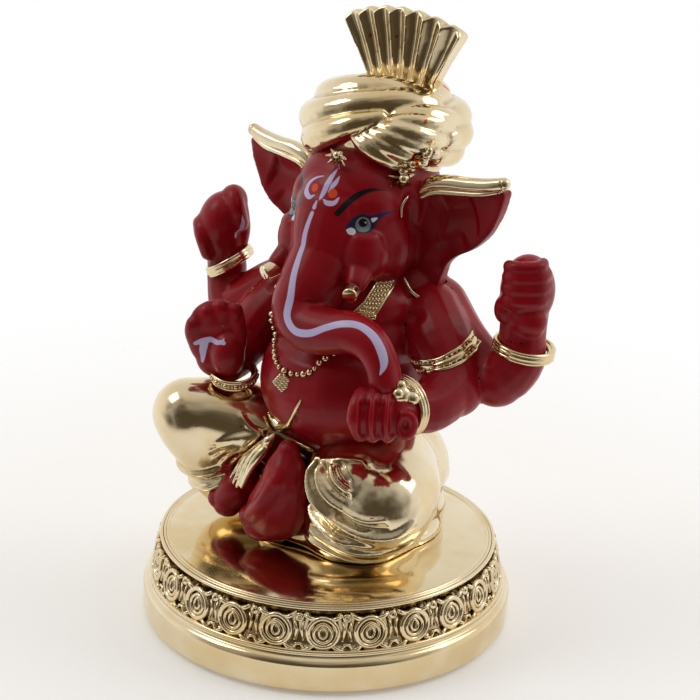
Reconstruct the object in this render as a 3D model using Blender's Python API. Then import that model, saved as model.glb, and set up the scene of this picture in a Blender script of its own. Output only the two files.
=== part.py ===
"""A seated, four-armed, elephant-headed shrine figure on a round pedestal.

The casting is drawn facing -Y, with its left side at +X and the pedestal's foot at z = 0.
Dimensions in the tables are millimetres; MM turns them into Blender's metres.
Every piece is carved back from its neighbours by GLUE_GAP, the room that the adhesive takes.
"""

import math

import bmesh
import bpy
from mathutils import Matrix, Vector
from mathutils.bvhtree import BVHTree

MM = 0.001

# Driving dimensions
PLINTH_RADIUS = 28.0
PEDESTAL_TOP = 12.6
GLUE_GAP = 0.35
VOXEL = 0.8
SHELL_WALL = 2.4
LATHE_STEPS = 40

# Pieces that stand on the pedestal or on each other share these places
NECK = (0.0, 7.0)
BODY_AXIS = (0.0, 7.0)
PLUME_AXIS = (1.0, 13.5)
SCREW_PLACES = {"right": (-7.5, 8.0), "left": (7.5, 8.0)}
PEDESTAL_CEILING = PEDESTAL_TOP - SHELL_WALL

COLOURS = {
    "gold": ((0.86, 0.66, 0.33), 0.12, 1.0),
    "red_paint": ((0.42, 0.012, 0.022), 0.42, 0.0),
    "steel": ((0.60, 0.60, 0.62), 0.35, 1.0),
    "felt": ((0.05, 0.05, 0.06), 0.95, 0.0),
    "brass_pin": ((0.70, 0.55, 0.28), 0.35, 1.0),
    "plate": ((0.16, 0.15, 0.15), 0.6, 0.0),
}

jackets = []


def clear_scene():
    for thing in list(bpy.data.objects):
        bpy.data.objects.remove(thing, do_unlink=True)


def finish_material(name):
    """The shared Principled material of one finish."""
    if name in bpy.data.materials:
        return bpy.data.materials[name]
    colour, roughness, metallic = COLOURS[name]
    material = bpy.data.materials.new(name)
    material.use_nodes = True
    shader = material.node_tree.nodes["Principled BSDF"]
    shader.inputs["Base Color"].default_value = (*colour, 1)
    shader.inputs["Roughness"].default_value = roughness
    shader.inputs["Metallic"].default_value = metallic
    return material


def placed(name, mesh, finish):
    """A new object in the scene that shows the mesh in a finish."""
    piece = bpy.data.objects.new(name, mesh)
    bpy.context.scene.collection.objects.link(piece)
    mesh.materials.clear()
    mesh.materials.append(finish_material(finish))
    return piece


def object_of(name, bm, finish):
    mesh = bpy.data.meshes.new(name)
    bm.to_mesh(mesh)
    bm.free()
    return placed(name, mesh, finish)


def settle(piece):
    """Replaces the piece's mesh by what its modifiers make of it."""
    bpy.context.view_layer.update()
    graph = bpy.context.evaluated_depsgraph_get()
    made = bpy.data.meshes.new_from_object(piece.evaluated_get(graph))
    piece.modifiers.clear()
    piece.data = made


# ---- raw shapes ----------------------------------------------------------


def ball(bm, centre, radii, turn=(0, 0, 0), rings=10):
    """An ellipsoid; turn is its rotation in degrees about X, Y and Z."""
    if not isinstance(radii, (tuple, list)):
        radii = (radii, radii, radii)
    spin = Matrix.Identity(4)
    for angle, axis in zip(turn, "XYZ"):
        spin = Matrix.Rotation(math.radians(angle), 4, axis) @ spin
    size = Matrix.Diagonal((*[r * MM for r in radii], 1))
    place = Matrix.Translation(Vector(centre) * MM) @ spin @ size
    bmesh.ops.create_uvsphere(bm, u_segments=rings * 2, v_segments=rings, radius=1, matrix=place)


def limb(bm, stations, rings=6):
    """A tapering limb through (centre, radius) stations, laid as close-set balls."""
    for (start, r0), (end, r1) in zip(stations, stations[1:]):
        start, end = Vector(start), Vector(end)
        count = max(1, math.ceil((end - start).length / (0.4 * min(r0, r1))))
        for i in range(count + 1):
            t = i / count
            ball(bm, start.lerp(end, t), r0 + (r1 - r0) * t, rings=rings)


def cast(name, finish, faces, balls=(), limbs=(), smooth=4, voxel=VOXEL):
    """One smooth casting: its balls and limbs melted together, then brought down to a face count."""
    bm = bmesh.new()
    for one in balls:
        ball(bm, *one)
    for stations in limbs:
        limb(bm, stations)
    piece = object_of(name, bm, finish)
    melt = piece.modifiers.new("melt", "REMESH")
    melt.mode = "VOXEL"
    melt.voxel_size = voxel * MM
    soften = piece.modifiers.new("soften", "SMOOTH")
    soften.iterations = smooth
    settle(piece)
    reduce = piece.modifiers.new("reduce", "DECIMATE")
    reduce.use_collapse_triangulate = True
    reduce.ratio = min(1.0, faces / (2 * len(piece.data.polygons)))
    settle(piece)
    return piece


def lathe(name, finish, profile, axis=(0, 0), steps=LATHE_STEPS):
    """A turned solid. The profile is (radius, height) points from the axis, round the outside, back to the axis."""
    bm = bmesh.new()
    points = [bm.verts.new(Vector((r, 0, z)) * MM) for r, z in profile]
    edges = [bm.edges.new(pair) for pair in zip(points, points[1:])]
    bmesh.ops.spin(
        bm,
        geom=points + edges,
        cent=(0, 0, 0),
        axis=(0, 0, 1),
        angle=math.tau,
        steps=steps,
        use_merge=True,
    )
    bmesh.ops.remove_doubles(bm, verts=bm.verts, dist=1e-6)
    bmesh.ops.recalc_face_normals(bm, faces=bm.faces)
    bmesh.ops.translate(bm, verts=bm.verts, vec=Vector((*axis, 0)) * MM)
    return object_of(name, bm, finish)


def peg(name, finish, axis, low, high, radius, steps=16):
    profile = [(0, high), (radius - 0.2, high), (radius, high - 0.2)]
    profile += [(radius, low + 0.2), (radius - 0.2, low), (0, low)]
    return lathe(name, finish, profile, axis, steps)


def hoop(name, finish, centre, normal, major, minor, steps=20, sides=6):
    """A closed ring of round wire about a limb."""
    bm = bmesh.new()
    turn = Vector((0, 0, 1)).rotation_difference(Vector(normal)).to_matrix().to_4x4()
    place = Matrix.Translation(Vector(centre) * MM) @ turn
    upright = Matrix.Translation((major * MM, 0, 0)) @ Matrix.Rotation(math.pi / 2, 4, "X")
    bmesh.ops.create_circle(bm, segments=sides, radius=minor * MM, matrix=upright)
    bmesh.ops.spin(
        bm,
        geom=bm.verts[:] + bm.edges[:],
        cent=(0, 0, 0),
        axis=(0, 0, 1),
        angle=math.tau,
        steps=steps,
        use_merge=True,
    )
    bmesh.ops.remove_doubles(bm, verts=bm.verts, dist=1e-6)
    bmesh.ops.recalc_face_normals(bm, faces=bm.faces)
    bmesh.ops.transform(bm, matrix=place, verts=bm.verts)
    return object_of(name, bm, finish)


def chain(name, points, radius, faces):
    """A gold cord along a route."""
    stations = [(point, radius) for point in points]
    return cast(name, "gold", faces, limbs=[stations], smooth=2, voxel=0.5)


def plate(name, finish, outline, front, back, dish=0.0):
    """A flat casting: an outline in X and Z, with its thickness along Y. dish bows it back at its far end."""
    bm = bmesh.new()
    ring = [bm.verts.new(Vector((x, front, z)) * MM) for x, z in outline]
    face = bm.faces.new(ring)
    body = bmesh.ops.extrude_face_region(bm, geom=[face])
    moved = [v for v in body["geom"] if isinstance(v, bmesh.types.BMVert)]
    bmesh.ops.translate(bm, verts=moved, vec=Vector((0, back - front, 0)) * MM)
    bmesh.ops.triangulate(bm, faces=bm.faces)
    for v in bm.verts:
        v.co.y += dish * MM * (abs(v.co.x / MM) / 20) ** 2
    bmesh.ops.recalc_face_normals(bm, faces=bm.faces)
    return object_of(name, bm, finish)


# ---- fitting the pieces to each other --------------------------------------


def corners(piece):
    points = [v.co for v in piece.data.vertices]
    low = [min(p[i] for p in points) for i in range(3)]
    high = [max(p[i] for p in points) for i in range(3)]
    return low, high


def near(one, other):
    (a, b), (c, d) = corners(one), corners(other)
    return all(a[i] < d[i] and c[i] < b[i] for i in range(3))


def jacket_of(piece):
    """A hidden cutter: the piece with its surface moved out by the glue gap."""
    jacket = bpy.data.objects.new(piece.name + ".jacket", piece.data.copy())
    bpy.context.scene.collection.objects.link(jacket)
    jacket.hide_render = True
    jacket.display_type = "WIRE"
    bm = bmesh.new()
    bm.from_mesh(jacket.data)
    bm.normal_update()
    for v in bm.verts:
        v.co += v.normal * GLUE_GAP * MM * min(v.calc_shell_factor(), 1.6)
    bm.to_mesh(jacket.data)
    bm.free()
    return jacket


def keep_largest(piece):
    """Drops the crumbs that a cut leaves, and keeps the one largest body."""
    bm = bmesh.new()
    bm.from_mesh(piece.data)
    bmesh.ops.triangulate(bm, faces=bm.faces)
    bmesh.ops.dissolve_degenerate(bm, edges=bm.edges, dist=1e-6)
    seen, bodies = set(), []
    for first in bm.faces:
        if first in seen:
            continue
        body, queue = [], [first]
        seen.add(first)
        while queue:
            face = queue.pop()
            body.append(face)
            for edge in face.edges:
                for other in edge.link_faces:
                    if other not in seen:
                        seen.add(other)
                        queue.append(other)
        bodies.append(body)
    bodies.sort(key=lambda body: sum(f.calc_area() for f in body))
    crumbs = [face for body in bodies[:-1] for face in body]
    bmesh.ops.delete(bm, geom=crumbs, context="FACES")
    bm.to_mesh(piece.data)
    bm.free()


def fit(piece):
    """Carves the piece back from the jackets of its neighbours, then adds a jacket of its own whole shape."""
    jacket = jacket_of(piece)
    cutters = [other for other in jackets if near(piece, other)]
    for cutter in cutters:
        cut = piece.modifiers.new("cut " + cutter.name, "BOOLEAN")
        cut.operation = "DIFFERENCE"
        cut.solver = "EXACT"
        cut.object = cutter
    if cutters:
        settle(piece)
        keep_largest(piece)
    jackets.append(jacket)
    return piece


def laid_on(surface, route, lift, core=BODY_AXIS):
    """The route's points brought in level towards the core, until they meet the surface, then lifted off it."""
    bm = bmesh.new()
    bm.from_mesh(surface.data)
    tree = BVHTree.FromBMesh(bm)
    bm.free()
    laid = []
    for point in route:
        point = Vector(point)
        inward = (Vector((*core, point.z)) - point).normalized()
        where = tree.ray_cast((point - 20 * inward) * MM, inward)[0]
        laid.append(where / MM - inward * lift)
    return laid


def smooth_route(points, steps):
    """Catmull-Rom points through a route."""
    points = [Vector(p) for p in points]
    path = [2 * points[0] - points[1]] + points + [2 * points[-1] - points[-2]]
    made = []
    for a, b, c, d in zip(path, path[1:], path[2:], path[3:]):
        for i in range(steps):
            t = i / steps
            made.append(
                0.5
                * (
                    2 * b
                    + (c - a) * t
                    + (2 * a - 5 * b + 4 * c - d) * t**2
                    + (3 * b - a - 3 * c + d) * t**3
                )
            )
    return made + [points[-1]]


# ---- the pieces ----------------------------------------------------------


def pins_and_screws():
    """What holds the castings together, made first so that each casting gets its socket."""
    fit(peg("body_dowel", "brass_pin", BODY_AXIS, 19.0, 34.0, 2.4))
    fit(peg("neck_dowel", "brass_pin", NECK, 49.0, 60.0, 1.9))
    fit(peg("turban_dowel", "brass_pin", NECK, 68.5, 77.5, 1.4, 12))
    fit(peg("plume_pin", "brass_pin", PLUME_AXIS, 77.0, 84.5, 0.7, 10))
    head_top = PEDESTAL_CEILING - GLUE_GAP
    head_low = head_top - 1.3
    for side, place in SCREW_PLACES.items():
        profile = [(0, 19.5), (0.5, 19.5), (0.9, 18.5), (0.9, head_top), (2.1, head_top)]
        profile += [(2.1, head_low + 0.4), (1.7, head_low), (0, head_low)]
        fit(lathe("seat_screw_" + side, "steel", profile, place, 14))


def pedestal():
    """A turned shell, hollow below, with a plain plinth, a leaning frieze and a double bead at its rim."""
    r = PLINTH_RADIUS
    top = PEDESTAL_TOP
    outside = [
        (0, top),
        (r * 0.855, top),
        (r * 0.868, top + 0.45),
        (r * 0.882, top + 0.1),
        (r * 0.896, top + 0.3),
        (r * 0.912, top - 0.2),
        (r * 0.960, 6.4),
        (r * 0.984, 6.1),
        (r * 0.984, 5.6),
        (r, 4.8),
        (r, 2.0),
        (r * 0.986, 0.9),
        (r * 0.955, 0.4),
    ]
    inside = [
        (r * 0.880, 0.4),
        (r * 0.880, 2.6),
        (r * 0.830, 2.6),
        (r * 0.800, PEDESTAL_CEILING),
        (0, PEDESTAL_CEILING),
    ]
    fit(lathe("pedestal", "gold", outside + inside))
    lid = r * 0.880 - 0.4
    fit(lathe("base_cover", "plate", [(0, 2.3), (lid, 2.3), (lid, 1.2), (0, 1.2)]))
    fit(lathe("felt_pad", "felt", [(0, 0.85), (lid - 0.3, 0.85), (lid - 0.3, 0), (0, 0)]))


def torso():
    flesh = [
        ((0, 2.6, 36.6), (12.8, 11.4, 11.2)),
        ((0, 7.5, 45.5), (12.2, 8.6, 8.6)),
        ((0, 12.0, 40.0), (12.5, 8.4, 13.5)),
        ((-10.4, 9.5, 48.4), (5.4, 5.4, 5.0)),
        ((10.4, 9.5, 48.4), (5.4, 5.4, 5.0)),
        ((0, 7.5, 52.5), (7.5, 7.0, 5.0)),
    ]
    return fit(cast("torso", "red_paint", 700, flesh))


def jewellery(body):
    """Cords laid on the chest, then the rings that go round the limbs."""
    collar = [(-8.4, 0.0, 54.0), (-7.4, -3.0, 50.5), (-4.4, -5.5, 46.8), (0, -6.6, 45.4)]
    collar += [(-x, y, z) for x, y, z in reversed(collar[:-1])]
    fit(chain("collar", laid_on(body, smooth_route(collar, 3), 1.3), 0.9, 230))
    beads = [(-11.0, 0.0, 49.6), (-8.4, -4.0, 44.6), (-4.6, -8.0, 41.8), (-0.8, -9.0, 40.8)]
    beads += [(2.8, -9.0, 41.4), (6.6, -6.0, 43.4), (10.0, -2.0, 47.6)]
    fit(chain("bead_necklace", laid_on(body, smooth_route(beads, 3), 1.0), 0.6, 260))
    pendant_place = laid_on(body, [(-0.9, -9.2, 38.6)], 1.2)[0]
    fit(cast("pendant", "gold", 80, [(pendant_place, (1.5, 0.8, 1.7))], smooth=1, voxel=0.4))
    thread = [(-10.6, -5.0, 33.2), (-6.4, -7.6, 30.6), (-2.8, -8.8, 31.0), (0.6, -9.0, 33.2), (2.4, -9.4, 36.4)]
    fit(chain("sacred_thread", laid_on(body, smooth_route(thread, 3), 0.9), 0.55, 150))
    hoops = {
        "bangle_upper_left": ((26.9, 7.6, 47.4), (0.35, 0.1, 1.0), 3.7, 0.75),
        "bangle_upper_right": ((-26.5, 7.6, 47.4), (-0.35, 0.1, 1.0), 3.7, 0.75),
        "bangle_lower_left": ((18.0, -5.6, 39.2), (-0.2, -1.0, 0.0), 4.0, 0.75),
        "bangle_lower_right": ((-16.2, -4.2, 36.6), (0.0, -0.4, 0.9), 3.9, 0.75),
        "armlet_left": ((16.4, 4.6, 43.4), (0.70, -0.42, -0.60), 4.7, 0.85),
        "armlet_right": ((-15.0, 4.2, 43.0), (-0.45, -0.54, -0.70), 4.7, 0.85),
    }
    for name, (centre, normal, major, minor) in hoops.items():
        fit(hoop(name, "gold", centre, normal, major, minor))


def head_and_trunk():
    skull = [
        ((0, 8.0, 65.0), (10.4, 10.4, 9.6)),
        ((0, 2.6, 66.5), (7.6, 6.0, 5.2)),
        ((-5.6, 3.6, 58.6), (4.6, 6.0, 6.2)),
        ((5.6, 3.6, 58.6), (4.6, 6.0, 6.2)),
        ((-5.8, -2.0, 55.6), (2.0, 3.4, 2.0), (-20, 0, 20)),
        ((5.8, -2.0, 55.6), (2.0, 3.4, 2.0), (-20, 0, -20)),
    ]
    root = [((0, 2.0, 64.5), 6.4), ((0, -1.0, 60.0), 5.8), ((0, -2.6, 57.0), 5.2)]
    fit(cast("head", "red_paint", 640, skull, [root]))
    for side, name in ((-1, "right"), (1, "left")):
        tusk = [((side * 6.6, -4.4, 54.8), 1.5), ((side * 8.4, -8.2, 53.8), 1.25)]
        fit(cast("tusk_" + name, "gold", 100, limbs=[tusk], smooth=1, voxel=0.4))
    fit(cast("modak", "gold", 120, [((18.2, -9.4, 42.6), (2.3, 2.1, 2.1))], smooth=1, voxel=0.4))
    path = [
        ((0, -3.0, 57.0), 5.0),
        ((0, -5.8, 52.8), 4.5),
        ((0.4, -7.4, 49.4), 4.0),
        ((3.2, -8.6, 47.8), 3.6),
        ((7.0, -9.2, 48.0), 3.2),
        ((11.0, -9.4, 48.8), 2.9),
        ((14.4, -9.6, 47.6), 2.6),
        ((16.2, -9.9, 45.2), 2.4),
        ((16.7, -10.2, 43.8), 2.3),
    ]
    fit(cast("trunk", "red_paint", 420, limbs=[path]))


def ear(side, name):
    outline = [
        (8.6, 65.8),
        (11.0, 67.0),
        (15.0, 67.4),
        (19.0, 67.8),
        (22.2, 68.2),
        (21.8, 65.4),
        (20.2, 62.0),
        (17.8, 59.0),
        (14.8, 56.8),
        (12.9, 54.6),
        (12.0, 51.6),
        (10.0, 50.8),
        (8.4, 53.0),
        (8.0, 60.0),
    ]
    outline = [(side * x, z) for x, z in outline]
    fit(plate("ear_" + name, "red_paint", outline, 6.2, 8.6, 1.0))
    rim = [(9.4, 7.0, 67.3), (11.0, 7.4, 68.3), (15.0, 7.9, 68.8), (19.0, 8.3, 69.2), (22.2, 8.5, 69.5)]
    rim = [(side * x, y, z) for x, y, z in rim]
    fit(chain("ear_trim_" + name, smooth_route(rim, 3), 1.05, 150))


def headdress():
    folds = [
        ((0.6, 10.5, 74.6), (13.0, 11.8, 7.0)),
        ((1.0, 9.0, 72.2), (12.2, 11.4, 4.6), (6, 4, 0)),
    ]
    wrap = fit(cast("turban", "gold", 480, folds))
    x, y = PLUME_AXIS
    flutes = 7
    outline = [(x + 5.4, 79.4), (x + 9.9, 88.0)]
    for i in range(flutes):
        for share in (0.1, 0.5, 0.9):
            across = 1 - 2 * (i + share) / flutes
            scallop = 0.8 if share == 0.5 else 0.0
            outline.append((x + 10.1 * across, 90.3 - 1.9 * across**2 + scallop))
    outline += [(x - 9.9, 88.0), (x - 5.4, 79.4), (x - 4.6, 78.2), (x + 4.6, 78.2)]
    fit(plate("plume", "gold", outline, y - 1.5, y + 1.5))
    tassel_place = laid_on(wrap, [(0.4, -4.0, 70.5)], 0.6)[0]
    brooch_place = laid_on(wrap, [(13.0, 2.0, 70.5)], 0.8)[0]
    fit(cast("turban_tassel", "gold", 100, [(tassel_place, (1.6, 1.4, 1.6))], voxel=0.4))
    fit(cast("turban_brooch", "gold", 110, [(brooch_place, (2.0, 2.2, 2.4))], voxel=0.4))


def arms():
    for side, name in ((-1, "right"), (1, "left")):
        raised = [((side * 12.0, 9.8, 48.4), 5.0), ((side * 23.4, 6.6, 41.6), 4.2), ((side * 26.6, 7.6, 47.4), 3.1)]
        fit(cast("upper_arm_" + name, "red_paint", 200, limbs=[raised]))
    reach = [((13.0, 6.6, 46.4), 4.6), ((20.0, 2.4, 40.4), 4.4), ((17.6, -6.4, 39.0), 3.4)]
    fit(cast("lower_arm_left", "red_paint", 200, limbs=[reach]))
    bless = [((-13.0, 6.6, 46.4), 4.6), ((-17.0, 2.0, 39.0), 4.4), ((-16.2, -4.0, 37.0), 3.3)]
    fit(cast("lower_arm_right", "red_paint", 200, limbs=[bless]))


def hands():
    fist_left = [((26.9, 7.7, 51.4), (3.2, 3.4, 4.2)), ((27.2, 7.6, 55.4), (4.3, 4.6, 5.2))]
    fit(cast("fist_left", "red_paint", 200, fist_left))
    fist_right = [((-26.6, 7.7, 51.4), (3.2, 3.4, 4.2)), ((-27.0, 7.0, 55.2), (4.1, 4.5, 5.6), (0, 12, 0))]
    fit(cast("fist_right", "red_paint", 200, fist_right))
    palm = [((-16.2, -6.6, 39.8), (4.4, 2.8, 3.8)), ((-16.4, -7.0, 43.6), (4.8, 2.2, 4.6))]
    fit(cast("blessing_hand", "red_paint", 200, palm))
    holding = [((17.0, -10.4, 38.8), (5.0, 4.4, 4.7))]
    fit(cast("offering_hand", "red_paint", 200, holding))


def legs():
    left_shin = [((2.2, -7.2, 26.0), 4.0), ((-0.4, -9.8, 20.5), 4.5), ((-4.2, -9.6, 15.8), 2.7)]
    right_shin = [((-8.0, -7.4, 22.6), 3.0), ((-13.6, -7.0, 16.4), 2.9)]
    fit(cast("left_foot", "red_paint", 260, limbs=[left_shin]))
    fit(cast("right_foot", "red_paint", 180, limbs=[right_shin]))
    sash = [((-2.4, -12.0, 28.8), 1.3), ((-7.0, -11.6, 24.8), 1.3), ((-11.6, -11.2, 20.4), 1.2)]
    fit(cast("dhoti_sash", "gold", 120, limbs=[sash], smooth=2, voxel=0.5))
    hips = [
        ((0, 10.5, 21.5), (13.4, 10.4, 9.6)),
        ((0, 6.0, 17.6), (14.4, 12.5, 6.6)),
        ((-12.0, -3.4, 20.5), (7.0, 5.6, 7.0)),
    ]
    right = [((-8.0, 4.0, 24.0), 8.0), ((-19.8, -9.2, 29.2), 5.8), ((-12.4, -5.6, 18.8), 4.8)]
    left = [((8.0, 4.0, 22.5), 8.5), ((13.0, -4.4, 22.2), 8.2), ((6.2, -6.2, 19.4), 5.4)]
    fit(cast("dhoti", "gold", 760, hips, [right, left]))


clear_scene()
pins_and_screws()
pedestal()
jewellery(torso())
head_and_trunk()
for side, name in ((-1, "right"), (1, "left")):
    ear(side, name)
headdress()
arms()
hands()
legs()
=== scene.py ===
import math

import bmesh
import bpy
import numpy as np
from mathutils import Matrix, Vector
from mathutils.bvhtree import BVHTree


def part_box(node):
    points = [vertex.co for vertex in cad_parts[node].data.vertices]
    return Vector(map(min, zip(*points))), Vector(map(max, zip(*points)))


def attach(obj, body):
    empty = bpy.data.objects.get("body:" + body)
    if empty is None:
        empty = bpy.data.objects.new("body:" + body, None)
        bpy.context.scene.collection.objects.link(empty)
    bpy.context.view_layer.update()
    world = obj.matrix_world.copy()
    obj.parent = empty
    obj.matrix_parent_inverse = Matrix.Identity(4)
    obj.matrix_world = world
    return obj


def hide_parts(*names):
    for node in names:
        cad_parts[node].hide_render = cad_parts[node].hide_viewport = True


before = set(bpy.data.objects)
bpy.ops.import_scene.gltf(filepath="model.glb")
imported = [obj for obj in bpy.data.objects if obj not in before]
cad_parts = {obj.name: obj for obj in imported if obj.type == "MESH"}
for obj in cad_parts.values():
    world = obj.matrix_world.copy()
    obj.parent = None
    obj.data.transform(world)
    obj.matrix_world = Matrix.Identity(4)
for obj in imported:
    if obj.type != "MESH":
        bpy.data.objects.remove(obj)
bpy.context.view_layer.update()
mm = 0.001
far = 1e9  # further than any distance measured here
pieces = {}


# Camera, light and floor

view = {
    "azimuth": 35.0,
    "pitch": 20.7,
    "roll": 2.02,
    "lens": 102.9,
    "distance": 309.1,
    "aside": -2.4,
    "above": -39.3,
}
studio = {
    "world": 1.0,
    "darkRoom": (0.085, 0.068, 0.046),
    "paleRoom": (0.98, 0.97, 0.96),
    "backdrop": (1.0, 1.0, 1.0),
    "darkTurn": -6.0,
    "darkRise": -0.18,
    "darkFrom": 0.30,
    "darkTo": 1.42,
    "darkBreak": 0.95,
    "ceiling": (0.74, 0.71, 0.66),
    "floorRadius": 0.15,
    "floor": (0.97, 0.97, 0.97),
    "lampAim": 0.045,  # the lamps point at this height
    # name, power, size, azimuth, elevation, distance
    "lamps": [("key", 0.5, 0.25, -50, 45, 0.6), ("rim", 0.5, 0.3, 130, 40, 0.6)],
}


def cameraAxes():
    turn, pitch, roll = (math.radians(view[k]) for k in ("azimuth", "pitch", "roll"))
    right = Vector((math.cos(turn), math.sin(turn), 0))
    level = Vector((-math.sin(turn), math.cos(turn), 0))
    ahead = level * math.cos(pitch) - Vector((0, 0, math.sin(pitch)))
    up = level * math.sin(pitch) + Vector((0, 0, math.cos(pitch)))
    tilted = right * math.cos(roll) + up * math.sin(roll)
    upright = up * math.cos(roll) - right * math.sin(roll)
    return right, up, ahead, tilted, upright


def setCamera():
    right, up, ahead, tilted, upright = cameraAxes()
    data = bpy.data.cameras.new("camera")
    data.lens = view["lens"]
    data.sensor_width = 36
    camera = bpy.data.objects.new("camera", data)
    bpy.context.scene.collection.objects.link(camera)
    place = Matrix((tilted, upright, -ahead)).transposed().to_4x4()
    place.translation = -(right * view["aside"] + up * view["above"] + ahead * view["distance"]) * mm
    camera.matrix_world = place
    bpy.context.scene.camera = camera


def addLight(name, power, size, azimuth, elevation, distance):
    data = bpy.data.lights.new(name, "AREA")
    data.energy = power
    data.size = size
    lamp = bpy.data.objects.new(name, data)
    bpy.context.scene.collection.objects.link(lamp)
    turn, lift = math.radians(azimuth), math.radians(elevation)
    away = Vector((math.sin(turn) * math.cos(lift), -math.cos(turn) * math.cos(lift), math.sin(lift)))
    lamp.location = away * distance + Vector((0, 0, studio["lampAim"]))
    lamp.rotation_euler = away.to_track_quat("Z", "Y").to_euler()


# Shader maths: a Wire is one socket, and sums on wires add the nodes


class Wire:
    def __init__(self, finish, socket):
        self.finish = finish
        self.socket = socket

    def sum(self, kind, *others):
        return self.finish.add("ShaderNodeMath", {"operation": kind}, (self, *others))

    def __add__(self, other):
        return self.sum("ADD", other)

    def __sub__(self, other):
        return self.sum("SUBTRACT", other)

    def __mul__(self, other):
        return self.sum("MULTIPLY", other)

    def __rsub__(self, other):
        return self.finish.add("ShaderNodeMath", {"operation": "SUBTRACT"}, (other, self))

    __radd__ = __add__
    __rmul__ = __mul__

    def step(self, low, high):  # 0 at low and 1 at high, smooth between
        return self.finish.add(
            "ShaderNodeMapRange", {"interpolation_type": "SMOOTHSTEP"}, (self, low, high, 0.0, 1.0)
        )


class Finish:
    def __init__(self, name):
        self.material = bpy.data.materials.new(name)
        self.material.use_nodes = True
        self.tree = self.material.node_tree
        self.shader = self.tree.nodes["Principled BSDF"]

    def add(self, kind, settings=None, values=(), out=0):
        node = self.tree.nodes.new(kind)
        for key, value in (settings or {}).items():
            setattr(node, key, value)
        named = values if isinstance(values, dict) else dict(enumerate(values))
        for key, value in named.items():
            if isinstance(value, Wire):
                self.tree.links.new(value.socket, node.inputs[key])
            else:
                node.inputs[key].default_value = value
        return Wire(self, node.outputs[out])

    def blend(self, mask, colour, over):  # mask 0 gives colour, 1 gives over
        values = {"Factor": mask, 6: colour, 7: over}
        return self.add("ShaderNodeMix", {"data_type": "RGBA"}, values, 2)

    def noise(self, size, detail=2.0, roughness=0.5):
        place = self.add("ShaderNodeTexCoord", out="Object")
        values = {"Vector": place, "Scale": 1 / (size * mm), "Detail": detail, "Roughness": roughness}
        return self.add("ShaderNodeTexNoise", {}, values)

    def field(self, name):
        return self.add("ShaderNodeAttribute", {"attribute_name": name}, out="Fac")

    def put(self, **sockets):
        for name, value in sockets.items():
            socket = self.shader.inputs[name.replace("_", " ")]
            if isinstance(value, Wire):
                self.tree.links.new(value.socket, socket)
            else:
                socket.default_value = value

    def bump(self, height, strength, distance):
        values = {"Strength": strength, "Distance": distance * mm, "Height": height}
        self.put(Normal=self.add("ShaderNodeBump", {}, values, "Normal"))


# Finishes

gold = {
    "pale": (0.83, 0.715, 0.50, 1),
    "deep": (0.76, 0.60, 0.345, 1),
    "speck": (0.75, 0.12, 0.02, 1),
    # painted shade: the dark gold put into grooves and recesses
    "hollow": (0.33, 0.235, 0.115, 1),
    "roughness": 0.10,
    "haze": 0.10,
}
redPaint = {
    "face": (0.34, 0.0028, 0.010, 1),
    "deep": (0.23, 0.0010, 0.005, 1),
    "bloom": (0.33, 0.012, 0.026, 1),
    "roughness": 0.31,
    "shine": 0.26,
}
marks = {
    "lilac": (0.62, 0.56, 0.86, 1),
    "orange": (0.80, 0.09, 0.03, 1),
    "black": (0.012, 0.010, 0.016, 1),
    "blue": (0.024, 0.020, 0.085, 1),
    "grey": (0.20, 0.24, 0.27, 1),
    "white": (0.80, 0.80, 0.86, 1),
}


def goldPlate(name, specks=0.0):
    finish = Finish(name)
    cloud = finish.noise(9.0, 3.0)
    tint = finish.blend(cloud.step(0.35, 0.7), gold["pale"], gold["deep"])
    if specks:
        spot = finish.noise(2.3, 1.0)
        tint = finish.blend(spot.step(1 - specks, 1.02 - specks), tint, gold["speck"])
    # painted shade: the plating is darkened where the field marks grooves and recesses
    tint = finish.blend(0.85 * finish.field("hollow"), tint, gold["hollow"])
    grain = finish.noise(0.35, 3.0)
    finish.put(Base_Color=tint, Metallic=1.0, Roughness=gold["roughness"] + gold["haze"] * (cloud * grain))
    ripple = finish.noise(2.6, 2.0) + 0.12 * grain
    finish.bump(ripple, 0.10, 0.12)
    return finish.material


def paintOver(finish, colour, roughness, layers):
    # each layer is a field that is negative inside its painted mark
    for fieldName, paint, edge in layers:
        inside = 1 - finish.field(fieldName).step(-edge * mm, edge * mm)
        colour = finish.blend(inside, colour, paint)
        roughness = roughness - 0.10 * inside
    return colour, roughness


def redGloss(name, layers=()):
    finish = Finish(name)
    cloud = finish.noise(7.0, 3.0)
    grain = finish.noise(0.5, 4.0, 0.6)
    colour = finish.blend(cloud.step(0.3, 0.75), redPaint["face"], redPaint["deep"])
    colour = finish.blend(0.22 * grain, colour, redPaint["bloom"])
    roughness = redPaint["roughness"] + 0.10 * (cloud - 0.5) + 0.08 * (grain - 0.5)
    colour, roughness = paintOver(finish, colour, roughness, layers)
    finish.put(Base_Color=colour, Roughness=roughness, Specular_IOR_Level=redPaint["shine"])
    finish.bump(grain + 1.5 * finish.noise(1.6, 2.0), 0.12, 0.05)
    return finish.material


# Making and shaping


def newPiece(name, bm):
    mesh = bpy.data.meshes.new(name)
    bm.to_mesh(mesh)
    bm.free()
    piece = bpy.data.objects.new(name, mesh)
    bpy.context.scene.collection.objects.link(piece)
    mesh.shade_smooth()
    return piece


def settle(piece):
    # its modifiers worked into its mesh
    bpy.context.view_layer.update()
    graph = bpy.context.evaluated_depsgraph_get()
    made = bpy.data.meshes.new_from_object(piece.evaluated_get(graph))
    piece.modifiers.clear()
    piece.data = made
    made.shade_smooth()


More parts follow.
